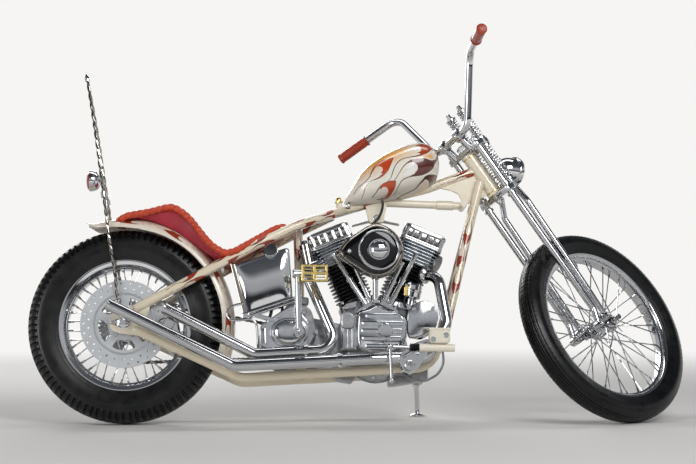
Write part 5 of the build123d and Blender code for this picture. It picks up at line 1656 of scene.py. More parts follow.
@dataclass
class Engine:
    """Forty-five degree twin: black barrels, alloy heads, chromed rocker boxes and a ribbed cam cover."""

    angle: float = 22.5
    barrel_low: float = 176.0
    barrel_fins: int = 10
    barrel_pitch: float = 12.6
    barrel_radius: float = 48.0
    fin: tuple[Pair, ...] = ((0, 48), (1.6, 50), (3, 64.2), (4.2, 65.2), (5.4, 64.2), (6.8, 50))
    head_low: float = 318.0
    head_fins: int = 6
    head_pitch: float = 11.0
    teardrop: tuple[Pair, ...] = ((702, 566), (724, 597), (767, 630), (802, 652), (836, 660), (878, 643),
                                  (908, 611), (922, 571), (910, 524), (878, 489), (838, 476), (800, 483),
                                  (766, 503), (724, 531), (704, 547))
    generator_end: tuple[Pair, ...] = ((938, 366), (953, 391), (977, 405), (1004, 407), (1026, 395),
                                       (1038, 370), (1038, 343), (1028, 315), (1000, 296), (962, 284),
                                       (941, 290), (936, 327))
    cam_outline: tuple[Pair, ...] = ((768, 262), (786, 240), (830, 232), (890, 236), (926, 256), (934, 300),
                                     (930, 346), (908, 366), (864, 377), (838, 392), (812, 380), (776, 366),
                                     (768, 340))

    def leaned(self, sense: int) -> Matrix:
        """Cylinder drawing (along the machine, across it, up the bore) to the upright drawing."""
        return (Matrix.Translation((CRANK[0], 0, CRANK[1]))
                @ Matrix.Rotation(math.radians(self.angle * sense), 4, "Y"))

    def cylinder(self, sense: int) -> None:
        """One finned barrel with its finned head."""
        name = "front" if sense > 0 else "rear"
        piece = Piece(f"cylinder_{name}_dressed", matrix=STANCE.chassis() @ self.leaned(sense))
        profile = [(self.barrel_low, 0.5), (self.barrel_low, 55), (self.barrel_low + 9, 55),
                   (self.barrel_low + 9, self.barrel_radius)]
        for k in range(self.barrel_fins):
            s = self.barrel_low + 14.0 + self.barrel_pitch * k
            profile += [(s + up, r) for up, r in self.fin]
        profile += [(self.head_low, self.barrel_radius), (self.head_low, 0.5)]
        piece.add(turned(profile, along=UP, steps=72), BARREL_ENAMEL)
        for u in (-46, 46):
            for y in (-40, 40):
                piece.add(bolt((u, y, self.barrel_low + 9), UP, 14, 9), CHROME)
        piece.add(slab(oblong(122, 108, 26), self.head_low, 386, 2), CAST_ALLOY)
        for k in range(self.head_fins):
            s = self.head_low + 2.0 + self.head_pitch * k
            grow = 1.0 - 0.015 * (self.head_fins - k)
            piece.add(slab(oblong(150 * grow, 134 * grow, 28), s, s + 4.6, 1.4), HEAD_ALLOY)
        piece.add(slab(oblong(151, 134, 20), 384, 391, 1.6), POLISHED_ALLOY)
        port = Vector((74 * sense, -22, 352))
        piece.add(turned([(-30, 24), (0, 24), (0, 31), (8, 31), (9, 21)], port, (sense * 0.9, -0.35, -0.1),
                         36), CAST_ALLOY)
        piece.add(rod((-16 * sense, 58, 346), (-26 * sense, 74, 362), 9, sides=6), GROUND_STEEL)
        piece.add(rod((-26 * sense, 74, 362), (-40 * sense, 97, 385), 6), WHITE_CERAMIC)
        piece.build(f"cylinder_{name}", slot="cast_barrel")

    def rocker_box(self, sense: int) -> None:
        """Chromed box of the rockers with ribbed faces and domed nuts."""
        name = "front" if sense > 0 else "rear"
        piece = Piece(f"rocker_box_{name}_dressed", matrix=STANCE.chassis() @ self.leaned(sense))
        piece.add(slab(oblong(150, 134, 18), 390.5, 397.5, 1.6), CHROME)
        piece.add(slab(oblong(136, 119, 14), 396, 429, 3), SMOKED_CHROME)
        cover = layered(oblong(150, 132, 24), ((427, 0.96), (428, 1), (434, 1), (438, 0.985), (441, 0.93),
                                               (443, 0.8), (443.6, 0.5)))
        piece.add(cover.moved(Matrix.Rotation(math.radians(90), 4, "X")), CHROME)
        for side in (-1, 1):
            for u, r in ((-60, 7), (-38, 4.5), (-14, 7), (14, 7), (38, 4.5), (60, 7)):
                piece.add(rod((u, side * 60, 397), (u, side * 60, 428), r, sides=18), CHROME)
            for u in (-26, 26):
                piece.add(acorn((u, side * 59, 413), (0, side, 0), 7), CHROME)
        for end in (-1, 1):
            for y in (-44, 0, 44):
                piece.add(rod((end * 68, y, 397), (end * 68, y, 428), 5.5, sides=18), CHROME)
        piece.build(f"rocker_box_{name}", slot="chrome")

    def crankcase(self) -> None:
        """Polished case halves with the sump ribs, tappet blocks and breather."""
        piece = Piece("crankcase_dressed")
        x, z = CRANK
        piece.add(turned([(-74, 0.5), (-74, 90), (-70, 98), (-5, 105), (-5, 109), (5, 109), (5, 105),
                          (70, 98), (74, 90), (74, 0.5)], (x, 0, z), LEFT, 72), CAST_ALLOY)
        for sense in (-1, 1):
            base = slab(oblong(126, 116, 22), 128, 176.5, 3).moved(self.leaned(sense))
            piece.add(base, CAST_ALLOY)
            for near, far, outline in ((-74, -110, ((68, 116), (64, 132), (12, 160), (8, 144))),
                                       (-64, -98, ((116, 128), (106, 148), (70, 158), (70, 136)))):
                shaped = [(x + sense * a, z + b) for a, b in outline]
                piece.add(plate(rounded(shaped[::sense], 5), near, far, bevel=2.5), POLISHED_ALLOY)
            piece.add(bolt((x + sense * 52, -104, z + 137), (sense * 0.3, -1, 0.3), 9, 6), CHROME)
        piece.add(plate(rounded([(714, 240), (770, 240), (770, 362), (716, 362)], 8), -50, -112, bevel=5),
                  CAST_ALLOY)
        for k in range(3):
            piece.add(rod((724 + 15 * k, -112, 248), (724 + 15 * k, -112, 352), 4.5), POLISHED_ALLOY)
        piece.add(plate(flowing([(718, 318), (744, 312), (760, 322), (760, 350), (742, 366), (720, 362)]),
                        -100, -124, bevel=4), CAST_ALLOY)
        for lug in (((880, 130), (1010, 150), (1010, 196), (940, 210), (880, 180)),
                    ((700, 150), (760, 140), (780, 190), (722, 214), (690, 190))):
            piece.add(plate(rounded(lug, 12), -52, 52, bevel=3), CAST_ALLOY)
        for k in range(10):
            a = math.radians(36 * k + 10)
            for side in (-1, 1):
                piece.add(bolt((x + 96 * math.cos(a), side * 70, z + 96 * math.sin(a)), (0, side, 0), 10, 6),
                          CHROME)
        piece.build("crankcase", slot="cast_alloy")

    def cam_cover(self) -> None:
        """Polished cover with five raised bands, a round boss and its screws."""
        piece = Piece("cam_cover_dressed")
        outline = flowing(self.cam_outline)
        piece.add(layered(outline, ((-72, 1), (-112, 1), (-120, 0.985), (-127, 0.94), (-129, 0.9))),
                  SHOW_ALLOY)
        for k, (low, high) in enumerate(((787, 918), (776, 928), (774, 930), (776, 931), (788, 920))):
            z = 254.0 + 25.0 * k
            band = rounded([(low + 8, z - 7.5), (high - 10, z - 7.5), (high - 10, z + 7.5),
                            (low + 8, z + 7.5)], 7)
            piece.add(plate(band, -122, -134, bevel=4.5), SHOW_ALLOY)
        piece.add(turned([(0, 25), (6, 25), (9, 22), (10, 10), (10, 0.1)], (862, -128, 306), RIGHT, 40),
                  CHROME)
        for x, z in ((779, 357), (779, 262), (838, 380), (900, 364), (922, 335), (921, 262), (862, 240),
                     (812, 240)):
            piece.add(flat_cap((x, -120, z), RIGHT, 6.5, 4, 5.5, 5), CHROME)
        piece.add(rod((830, -112, 410), (830, -112, 485), 9), CHROME)
        piece.add(turned([(0, 9), (0, 12), (9, 12), (10, 9)], (830, -112, 478), UP, 24), BLACK_CHROME)
        piece.add(turned([(0, 14), (12, 14), (14, 9)], (830, -112, 398), UP, 6), CHROME)
        piece.build("cam_cover", slot="cast_alloy")

    def accessories(self) -> None:
        """Generator, timer and pushrod tubes."""
        piece = Piece("generator_dressed")
        outline = flowing(self.generator_end)
        piece.add(turned([(-96, 0.5), (-96, 48), (-40, 48), (-38, 50), (-20, 50), (-18, 48), (70, 48),
                          (74, 44), (74, 0.5)], (990, 0, 346), LEFT, 56), SMOKED_CHROME)
        piece.add(layered(outline, ((-84, 1), (-110, 1), (-113, 0.97), (-114, 0.93))), SHOW_ALLOY)
        for x, z in ((1022, 384), (1012, 312), (958, 380)):
            piece.add(flat_cap((x, -113, z), RIGHT, 7, 4, 5, 5.5), CHROME)
        piece.build("generator", slot="chrome")
        piece = Piece("timer_dressed")
        piece.add(turned([(0, 14), (26, 14), (30, 26), (36, 30), (52, 30), (54, 31.5), (58, 31.5), (60, 30),
                          (74, 29), (80, 24), (83, 12), (83.5, 0.1)], (946, -74, 392), (0.2, -0.12, 1), 48),
                  CHROME)
        piece.add(plate(rounded([(926, 425), (940, 425), (940, 460), (926, 456)], 3), -88, -108, bevel=2),
                  BRASS)
        lead = smooth_line([(932, -104, 428), (926, -110, 405), (934, -106, 384)], 8, 3)
        piece.add(swept(lead, 3.2, 10), BLACK_RUBBER)
        piece.build("timer", slot="chrome")
        piece = Piece("pushrod_tubes_dressed")
        for x0, z0, x1, z1 in ((796, 398, 690, 566), (814, 408, 754, 540), (862, 412, 922, 540),
                               (882, 400, 968, 566)):
            low, high = Vector((x0, -92, z0)), Vector((x1, -92, z1))
            axis = (high - low).normalized()
            length = (high - low).length
            piece.add(turned([(-14, 10), (10, 10), (11, 12), (15, 12), (16, 9), (0.46 * length, 9),
                              (0.46 * length, 11.5), (0.5 * length, 11.5), (0.5 * length, 7.5),
                              (length - 8, 7.5), (length - 8, 10), (length, 10)], low, axis, 28), CHROME)
        piece.build("pushrod_tubes", slot="chrome")

    def breathing(self) -> None:
        """Teardrop air cleaner with its dark face and domed centre, carburettor, manifold and fuel line."""
        piece = Piece("air_cleaner_dressed")
        outline = flowing(self.teardrop)
        piece.add(layered(outline, ((-138, 0.93), (-140, 0.985), (-144, 1), (-152, 1), (-160, 0.975),
                                    (-168, 0.925), (-171, 0.88), (-170, 0.855), (-166, 0.84))), SMOKED_CHROME)
        piece.add(layered(outline, ((-150, 0.85), (-167, 0.85), (-169, 0.82), (-170.5, 0.6))), BLACK_CHROME)
        centre = (838, -166, 570)
        piece.add(turned([(0, 70), (3, 70), (5, 67), (5, 61), (3.4, 58), (3.4, 40), (5, 38), (6, 34),
                          (6, 0.1)], centre, RIGHT, 72), BLACK_CHROME)
        piece.add(turned([(4.6, 68.5), (6.4, 66.5), (6.4, 64), (4.6, 62)], centre, RIGHT, 72, closed=True),
                  CHROME)
        dome = [(5 + 15 * math.sin(a), 31 * math.cos(a)) for a in np.linspace(0, 1.5, 12)]
        piece.add(turned([(5, 36), (7, 35), (7, 31.5), *dome, (20.1, 0.05)], centre, RIGHT, 56), CHROME)
        piece.add(acorn((740, -166, 562), RIGHT, 9), CHROME)
        piece.build("air_cleaner", slot="chrome", sharp=40)
        piece = Piece("carburettor_dressed")
        piece.add(turned([(0, 30), (14, 30), (16, 24), (60, 24), (62, 32), (70, 32), (72, 26), (118, 26)],
                         (838, -138, 560), LEFT, 40), CAST_ALLOY)
        piece.add(turned([(-52, 12), (-50, 27), (-12, 28), (-8, 31), (0, 31), (2, 10)], (838, -100, 546), UP,
                         36), CAST_ALLOY)
        for sense in (-1, 1):
            piece.add(rod((838, -22, 556), (838 + sense * 88, -10, 552), 21), CHROME)
            piece.add(rod((838 + sense * 66, -13, 553), (838 + sense * 78, -12, 552), 25), CHROME)
        line = smooth_path([(858, -42, 760), (858, -46, 735), (846, -58, 700), (820, -66, 668),
                            (816, -70, 640), (832, -82, 600)], 10)
        piece.add(swept(line, 4.5, 12), BLACK_RUBBER)
        piece.build("carburettor", slot="cast_alloy")

    def build(self) -> None:
        """Make the whole engine."""
        for sense in (-1, 1):
            self.cylinder(sense)
            self.rocker_box(sense)
        self.crankcase()
        self.cam_cover()
        self.accessories()
        self.breathing()


@dataclass
class Exhausts:
    """Two chromed pipes swept low along the right side and up past the rear axle."""

    radius: float = 19.0
    wall: float = 2.0
    bore_depth: float = 90.0
    bend: float = 50.0
    spacing: float = 6.0
    front: tuple[Triple, ...] = ((1000, -50, 505), (1042, -92, 490), (1066, -132, 330), (1000, -150, 216),
                                 (820, -166, 208), (366, -166, 181), (-48, -162, 380))
    rear: tuple[Triple, ...] = ((668, -24, 556), (594, -84, 512), (700, -140, 262), (650, -144, 236),
                                (432, -149, 221), (134, -149, 370))

    def pipe(self, name: str, points: Sequence[Triple], clamps: Sequence[int]) -> None:
        """One pipe with an open tail, a port flange and clamps at some bends."""
        piece = Piece(f"{name}_dressed")
        line = even_path(bent_path(points, self.bend), self.spacing)
        piece.add(swept(line, self.radius, 36, capped=False), CHROME)
        inner = line[-int(self.bore_depth / self.spacing):][::-1]
        bore = self.radius - self.wall
        piece.add(swept(inner, bore, 36, capped=False), BLACK_CHROME)
        tail = (line[-1] - line[-3]).normalized()
        lip = [(-4, bore), (-4, self.radius + 0.5), (0.6, self.radius + 0.8), (1.4, self.radius - 0.8),
               (0.6, bore)]
        piece.add(turned(lip, line[-1], tail, 36, closed=True), CHROME)
        # A dark disc closes the bore where its lining ends: painted shade standing in for the rest of the
        # pipe, out of sight.
        bottom = [(0, 0.5), (0, bore + 0.3), (2, bore + 0.3)]
        piece.add(turned(bottom, inner[-1], inner[-1] - inner[-2], 36), BLACK_CHROME)
        start = (line[1] - line[0]).normalized()
        piece.add(turned([(0, 18), (0, 30), (7, 30), (9, 26), (14, 21.5), (14, 18)], line[0], start, 36,
                         closed=True), CHROME)
        for place in clamps:
            piece.add(pipe_clamp(line[place], line[place + 1] - line[place - 1], self.radius), CHROME)
        piece.build(name, slot="chrome")

    def build(self) -> None:
        """Make both pipes."""
        self.pipe("exhaust_front", self.front, (112,))
        self.pipe("exhaust_rear", self.rear, (80,))


@dataclass
class Drive:
    """Gearbox, kick starter, primary cover and chain."""

    gearbox_outline: tuple[Pair, ...] = ((448, 320), (464, 336), (510, 354), (542, 398), (572, 402),
                                         (616, 380), (632, 330), (640, 300), (618, 268), (606, 236),
                                         (512, 232), (458, 236), (446, 270))
    chain_pitch: float = 15.9

    def gearbox(self) -> None:
        """Polished case with its oval kick cover."""
        piece = Piece("gearbox_dressed")
        piece.add(plate(rounded(self.gearbox_outline, 12), -92, 58, bevel=4), CAST_ALLOY)
        piece.add(plate(rounded([(466, 240), (606, 240), (612, 330), (560, 392), (520, 372), (462, 330)], 16),
                        -90, -104, bevel=3), SHOW_ALLOY)
        oval = [(545 + 64 * math.cos(a), 298 + 49 * math.sin(a))
                for a in np.linspace(0, 2 * np.pi, 48, endpoint=False)]
        piece.add(layered(oval, ((-98, 1), (-116, 1), (-119, 0.98), (-119.5, 0.93), (-117, 0.9), (-117, 0.86),
                                 (-123, 0.83), (-130, 0.7), (-132, 0.5))), SHOW_ALLOY)
        for x, z in ((460, 318), (464, 258), (510, 352), (508, 244), (600, 244), (634, 302), (594, 366),
                     (566, 384), (556, 240)):
            piece.add(bolt((x, -101, z), RIGHT, 12, 6), CHROME)
        piece.add(plate(rounded([(426, 350), (434, 362), (500, 344), (498, 332)], 4), -84, -112, bevel=1.5),
                  SHOW_ALLOY)
        piece.add(rod((470, -60, 430), (520, -60, 390), 12), CHROME)
        piece.add(block((70, 60, 26), (575, -40, 410), 5), CAST_ALLOY)
        piece.add(acorn((545, -40, 420), UP, 10), CHROME)
        piece.build("gearbox", slot="cast_alloy")

    def kick_starter(self) -> None:
        """Straight kick arm with a square brass pedal of four windows."""
        piece = Piece("kick_starter_dressed")
        piece.add(rod((576, -131, 296), (576, -172, 296), 17), CHROME)
        piece.add(acorn((576, -172, 296), RIGHT, 9), CHROME)
        piece.add(rod((576, -162, 300), (570, -166, 480), 12.5, 10), CHROME)
        piece.add(turned([(-17, 13), (-14, 15), (14, 15), (17, 13)], (570, -166, 486), AHEAD, 28), CHROME)
        piece.add(rod((560, -176, 486), (590, -190, 486), 8), CHROME)
        windows = [oblong(30, 17, 3, 625 + 20 * u, 484 + 13 * v) for u in (-1, 1) for v in (-1, 1)]
        piece.add(plate(oblong(86, 56, 4, 625, 484), -185, -204, windows, bevel=2), BRASS)
        for u in (-1, 1):
            for v in (-1, 1):
                piece.add(block((30, 8, 3.5), (625 + 20 * u, -194, 484 + 13 * v), 1), BRASS)
        piece.build("kick_starter", slot="chrome")

    def primary(self) -> None:
        """Long polished cover over the clutch and crank pulley."""
        piece = Piece("primary_cover_dressed")
        x0, z0, r0, x1, z1, r1 = *CRANK, 78.0, *CLUTCH, 104.0
        tilt = math.atan2(z1 - z0, x1 - x0)
        flat = math.acos((r1 - r0) / math.hypot(x1 - x0, z1 - z0))
        outline = arc(x1, z1, r1, tilt - math.pi + flat, tilt + math.pi - flat, 40)
        outline += arc(x0, z0, r0, tilt + math.pi - flat, tilt + math.pi + flat, 30)
        piece.add(layered(outline, ((92, 1), (110, 1), (110, 0.97), (134, 0.96), (144, 0.93), (149, 0.87),
                                    (150, 0.78))), SHOW_ALLOY)
        middle = np.mean(np.array(outline), axis=0)
        for k in range(0, len(outline), 5):
            spot = middle + (np.array(outline[k]) - middle) * 0.985
            piece.add(bolt((spot[0], 108, spot[1]), LEFT, 9, 5), CHROME)
        piece.add(flat_cap((x1, 147, z1), LEFT, 46, 4, 6, 43, 56), CHROME)
        piece.add(flat_cap((x0, 144, z0), LEFT, 26, 4, 6, 23, 48), CHROME)
        piece.build("primary_cover", slot="cast_alloy")

    def chain(self) -> None:
        """Roller chain round the two sprockets."""
        piece = Piece("drive_chain_dressed")
        x0, z0, r0, x1, z1, r1 = *REAR_AXLE, 114.0, *CLUTCH, 50.0
        span = math.hypot(x1 - x0, z1 - z0)
        tilt = math.atan2(z1 - z0, x1 - x0)
        open_angle = math.acos((r0 - r1) / span)
        ring = arc(x0, z0, r0, tilt + open_angle, tilt + 2 * math.pi - open_angle, 90)
        ring += arc(x1, z1, r1, tilt - open_angle, tilt + open_angle, 40)
        ring.append(ring[0])
        line = [Vector((x, 81, z)) for x, z in ring]
        length = sum((b - a).length for a, b in zip(line[:-1], line[1:]))
        places = even_path(line, length / (2 * round(length / self.chain_pitch / 2)))
        for k in range(len(places) - 1):
            here, there = places[k], places[k + 1]
            middle, ahead = 0.5 * (here + there), there - here
            turn = Matrix.Translation(middle) @ Matrix.Rotation(-math.atan2(ahead.z, ahead.x), 4, "Y")
            out = 6.4 if k % 2 else 4.4
            half = 0.5 * ahead.length
            waist = [(half + 5.4, 0), (half + 3.6, 4.6), (half, 6), (0, 4), (-half, 6), (-half - 3.6, 4.6),
                     (-half - 5.4, 0), (-half - 3.6, -4.6), (-half, -6), (0, -4), (half, -6),
                     (half + 3.6, -4.6)]
            for side in (-1, 1):
                piece.add(plate(waist[::-1], side * out - 0.8, side * out + 0.8, bevel=0.3).moved(turn),
                          CHAIN_STEEL)
            for wide, radius, sides in ((7.6, 2.6, 8), (3.6, 5, 10)):
                reach = Vector((0, wide, 0))
                piece.add(rod(here - reach, here + reach, radius, sides=sides), CHAIN_STEEL)
        piece.build("drive_chain", slot="bright_steel")

    def build(self) -> None:
        """Make the whole drive."""
        self.gearbox()
        self.kick_starter()
        self.primary()
        self.chain()


@dataclass
class OilTank:
    """Chromed box tank held by a strap, with its filler cap, lines and coil."""

    corners: tuple[Pair, ...] = ((354, 523), (542, 588), (556, 413), (398, 357))
    bow: float = 8.5

    def bowed_face(self) -> Shape:
        """Outer panel, pressed out so that it mirrors the room from floor to ceiling."""
        high_back, high_front, low_front, low_back = (Vector(corner) for corner in self.corners)
        rows = []
        for rise in np.linspace(0.05, 0.95, 25):
            back, front = low_back.lerp(high_back, rise), low_front.lerp(high_front, rise)
            row = []
            for run in np.linspace(0.05, 0.95, 25):
                x, z = back.lerp(front, run)
                lift = (1 - (2 * rise - 1) ** 2 / 0.81) * (1 - abs((2 * run - 1) / 0.9) ** 6)
                row.append((x, -100.6 - self.bow * max(lift, 0), z))
            rows.append(np.array(row))
        return skinned(rows, looped=False, capped=False)

    def build(self) -> None:
        """Make the tank with what is fixed to it."""
        piece = Piece("oil_tank_dressed")
        outline = rounded(self.corners[::-1], 16, 8)
        piece.add(layered(outline, ((68, 0.93), (66, 0.96), (60, 0.99), (52, 1), (-90, 1), (-96, 0.99),
                                    (-100, 0.96), (-101, 0.92))), CHROME)
        piece.add(self.bowed_face(), CHROME)
        piece.add(plate(rounded([(346, 528), (362, 526), (408, 354), (392, 350)], 4), -96, -113, bevel=3),
                  SMOKED_CHROME)
        for rise in (0, 12):
            piece.add(rod((396, -108, 346 + rise), (566, -108, 404 + rise), 4.6), CHROME)
        piece.add(block((26, 26, 22), (400, -104, 352), 4), CHROME)
        axis = Vector((-0.2, -1, 0.35)).normalized()
        piece.add(turned([(-30, 17), (0, 17), (0, 23), (10, 24), (13, 22), (15, 12), (16, 0.1)],
                         (482, -98, 570), axis, 12), CHROME)
        loop = smooth_path([(392, -112, 394), (356, -116, 382), (340, -118, 360), (346, -118, 340),
                            (376, -118, 336), (418, -118, 340), (436, -118, 322), (441, -116, 280),
                            (443, -112, 232)], 10)
        piece.add(swept(loop, 4.2, 14), CHROME)
        piece.add(rod((596, -54, 600), (612, -62, 520), 21), SMOKED_CHROME)
        piece.add(rod((592, -52, 614), (596, -54, 600), 10), BLACK_CHROME)
        piece.add(turned([(0, 23), (6, 23)], (600, -56, 580), (16, -8, -80), 32), CHROME)
        for low, high in (((486, -70, 400), (470, -80, 330)), ((510, -70, 408), (520, -78, 360))):
            line = smooth_path([low, tuple((Vector(low) + Vector(high)) * 0.5 + Vector((6, -10, 0))), high],
                               8)
            piece.add(swept(line, 5.5, 12), BLACK_RUBBER)
        piece.build("oil_tank", slot="chrome", sharp=40)


@dataclass
class Trim:
    """Twisted sissy bar with its lamp, brake caliper and side stand."""

    side_rail: tuple[Triple, ...] = ((-24, 98, 342), (-31, 96, 470), (-56, 84, 605), (-78, 72, 742),
                                     (-118, 38, 985), (-156, 0, 1186))
    strand_radius: float = 3.7
    strand_offset: float = 2.5
    twist_pitch: float = 76.0
    spacing: float = 3.0

    def sissy_bar(self) -> None:
        """Two twisted rods that meet in a point, joined by a bar below the lamp."""
        piece = Piece("sissy_bar_dressed")
        for side in (-1, 1):
            line = smooth_line([(x, side * y, z) for x, y, z in self.side_rail], 12, self.spacing)
            for strand in range(2):
                twisted = []
                for place, point in enumerate(line):
                    ahead = (line[min(place + 1, len(line) - 1)] - line[max(place - 1, 0)]).normalized()
                    out = ahead.cross(Vector(AHEAD)).normalized()
                    up = out.cross(ahead)
                    swing = 2.0 * math.pi * place * self.spacing / self.twist_pitch + strand * math.pi
                    twisted.append(point + (out * math.cos(swing) + up * math.sin(swing))
                                   * self.strand_offset)
                piece.add(swept(twisted, self.strand_radius, 10), SMOKED_CHROME)
            foot = line[0]
            piece.add(turned([(-8, 0.5), (-8, 13), (8, 13), (8, 0.5)], foot, LEFT, 28), CHROME)
            piece.add(bolt(foot + Vector((0, side * 8, 0)), (0, side, 0), 14, 8), CHROME)
            piece.add(turned([(-9, 8.5), (-9, 10), (9, 10), (9, 8.5)], line[len(line) // 2],
                             line[len(line) // 2 + 1] - line[len(line) // 2 - 1], 20), CHROME)
        piece.add(rod((-96, -62, 822), (-96, 62, 822), 6), CHROME)
        tip = [(-14, 8), (-2, 9), (6, 7), (14, 3), (16, 0.1)]
        piece.add(turned(tip, (-156, 0, 1184), (-0.2, 0, 1), 24), CHROME)
        piece.build("sissy_bar", slot="chrome")
        piece = Piece("tail_lamp_dressed")
        piece.add(turned([(-28, 6), (-26, 20), (-18, 30), (-4, 35), (8, 36), (8, 33), (4, 31)],
                         (-128, 0, 822), BACK, 48), CHROME)
        piece.add(turned([(2, 32), (10, 32), (15, 27), (18, 16), (19, 0.1)], (-128, 0, 822), BACK, 40),
                  RED_LENS)
        piece.add(block((34, 24, 20), (-108, 0, 822), 4), CHROME)
        piece.build("tail_lamp", slot="red_lens")

    def caliper(self) -> None:
        """Two-piston caliper on its torque arm."""
        piece = Piece("brake_caliper_dressed")
        piece.add(plate(rounded([(108, 262), (176, 268), (186, 300), (176, 344), (150, 352), (112, 340),
                                 (104, 300)], 12), -50, -98, bevel=6), CHROME)
        for x, z in ((138, 288), (148, 326)):
            piece.add(flat_cap((x, -97, z), RIGHT, 19, 5, 7, 16, 36), CHROME)
        piece.add(plate(rounded([(40, 300), (110, 270), (130, 286), (128, 330), (60, 344), (40, 336)], 10),
                        -92, -101, bevel=2), SMOKED_CHROME)
        for x, z in ((62, 326), (112, 300), (170, 280), (170, 336)):
            piece.add(bolt((x, -100, z), RIGHT, 13, 7), CHROME)
        piece.build("brake_caliper", slot="bright_steel")

    def stand(self) -> None:
        """Side stand with its foot and pivot bolt, drawn as it stands parked."""
        pivot = Vector(STANCE.joint("side_stand_fold")["pos_m"]) / MM
        foot = Vector((pivot.x + 14, pivot.y + 98, 8))
        knee = pivot.lerp(foot, 0.5) + Vector((2, 7, 4))
        piece = Piece("side_stand_dressed", "side_stand", Matrix.Scale(MM, 4))
        line = smooth_line([pivot, knee, foot], 16, 5)
        piece.add(swept(line, 8.5, 20), CHROME)
        piece.add(turned([(-13, 0.5), (-13, 15), (-11, 16.5), (11, 16.5), (13, 15), (13, 0.5)], pivot, AHEAD,
                         32), CHROME)
        piece.add(bolt(pivot + Vector((13, 0, 0)), AHEAD, 16, 8), GROUND_STEEL)
        piece.add(turned([(0.2, 0.5), (0.2, 27), (2, 29), (5, 29), (8, 24), (11, 11), (16, 9)],
                         (foot.x, foot.y, 0), UP, 40), CHROME)
        piece.build("side_stand", slot="chrome")

    def build(self) -> None:
        """Make all of the trim."""
        self.sissy_bar()
        self.caliper()
        self.stand()


def coil(at: Pair, radius: float, wire: float, low: float, high: float, turns: float) -> Shape:
    """A spring of round wire about an axis that runs up the fork drawing, with flat end turns."""
    points = []
    steps = int(turns * 20)
    for step in range(steps + 1):
        share = step / steps
        lift = min(max((share * turns - 0.8) / (turns - 1.6), 0), 1)
        swing = 2.0 * math.pi * turns * share
        points.append((at[0] + radius * math.cos(swing), at[1] + radius * math.sin(swing),
                       low + wire + lift * (high - low - 2 * wire)))
    return swept(points, wire, 9)


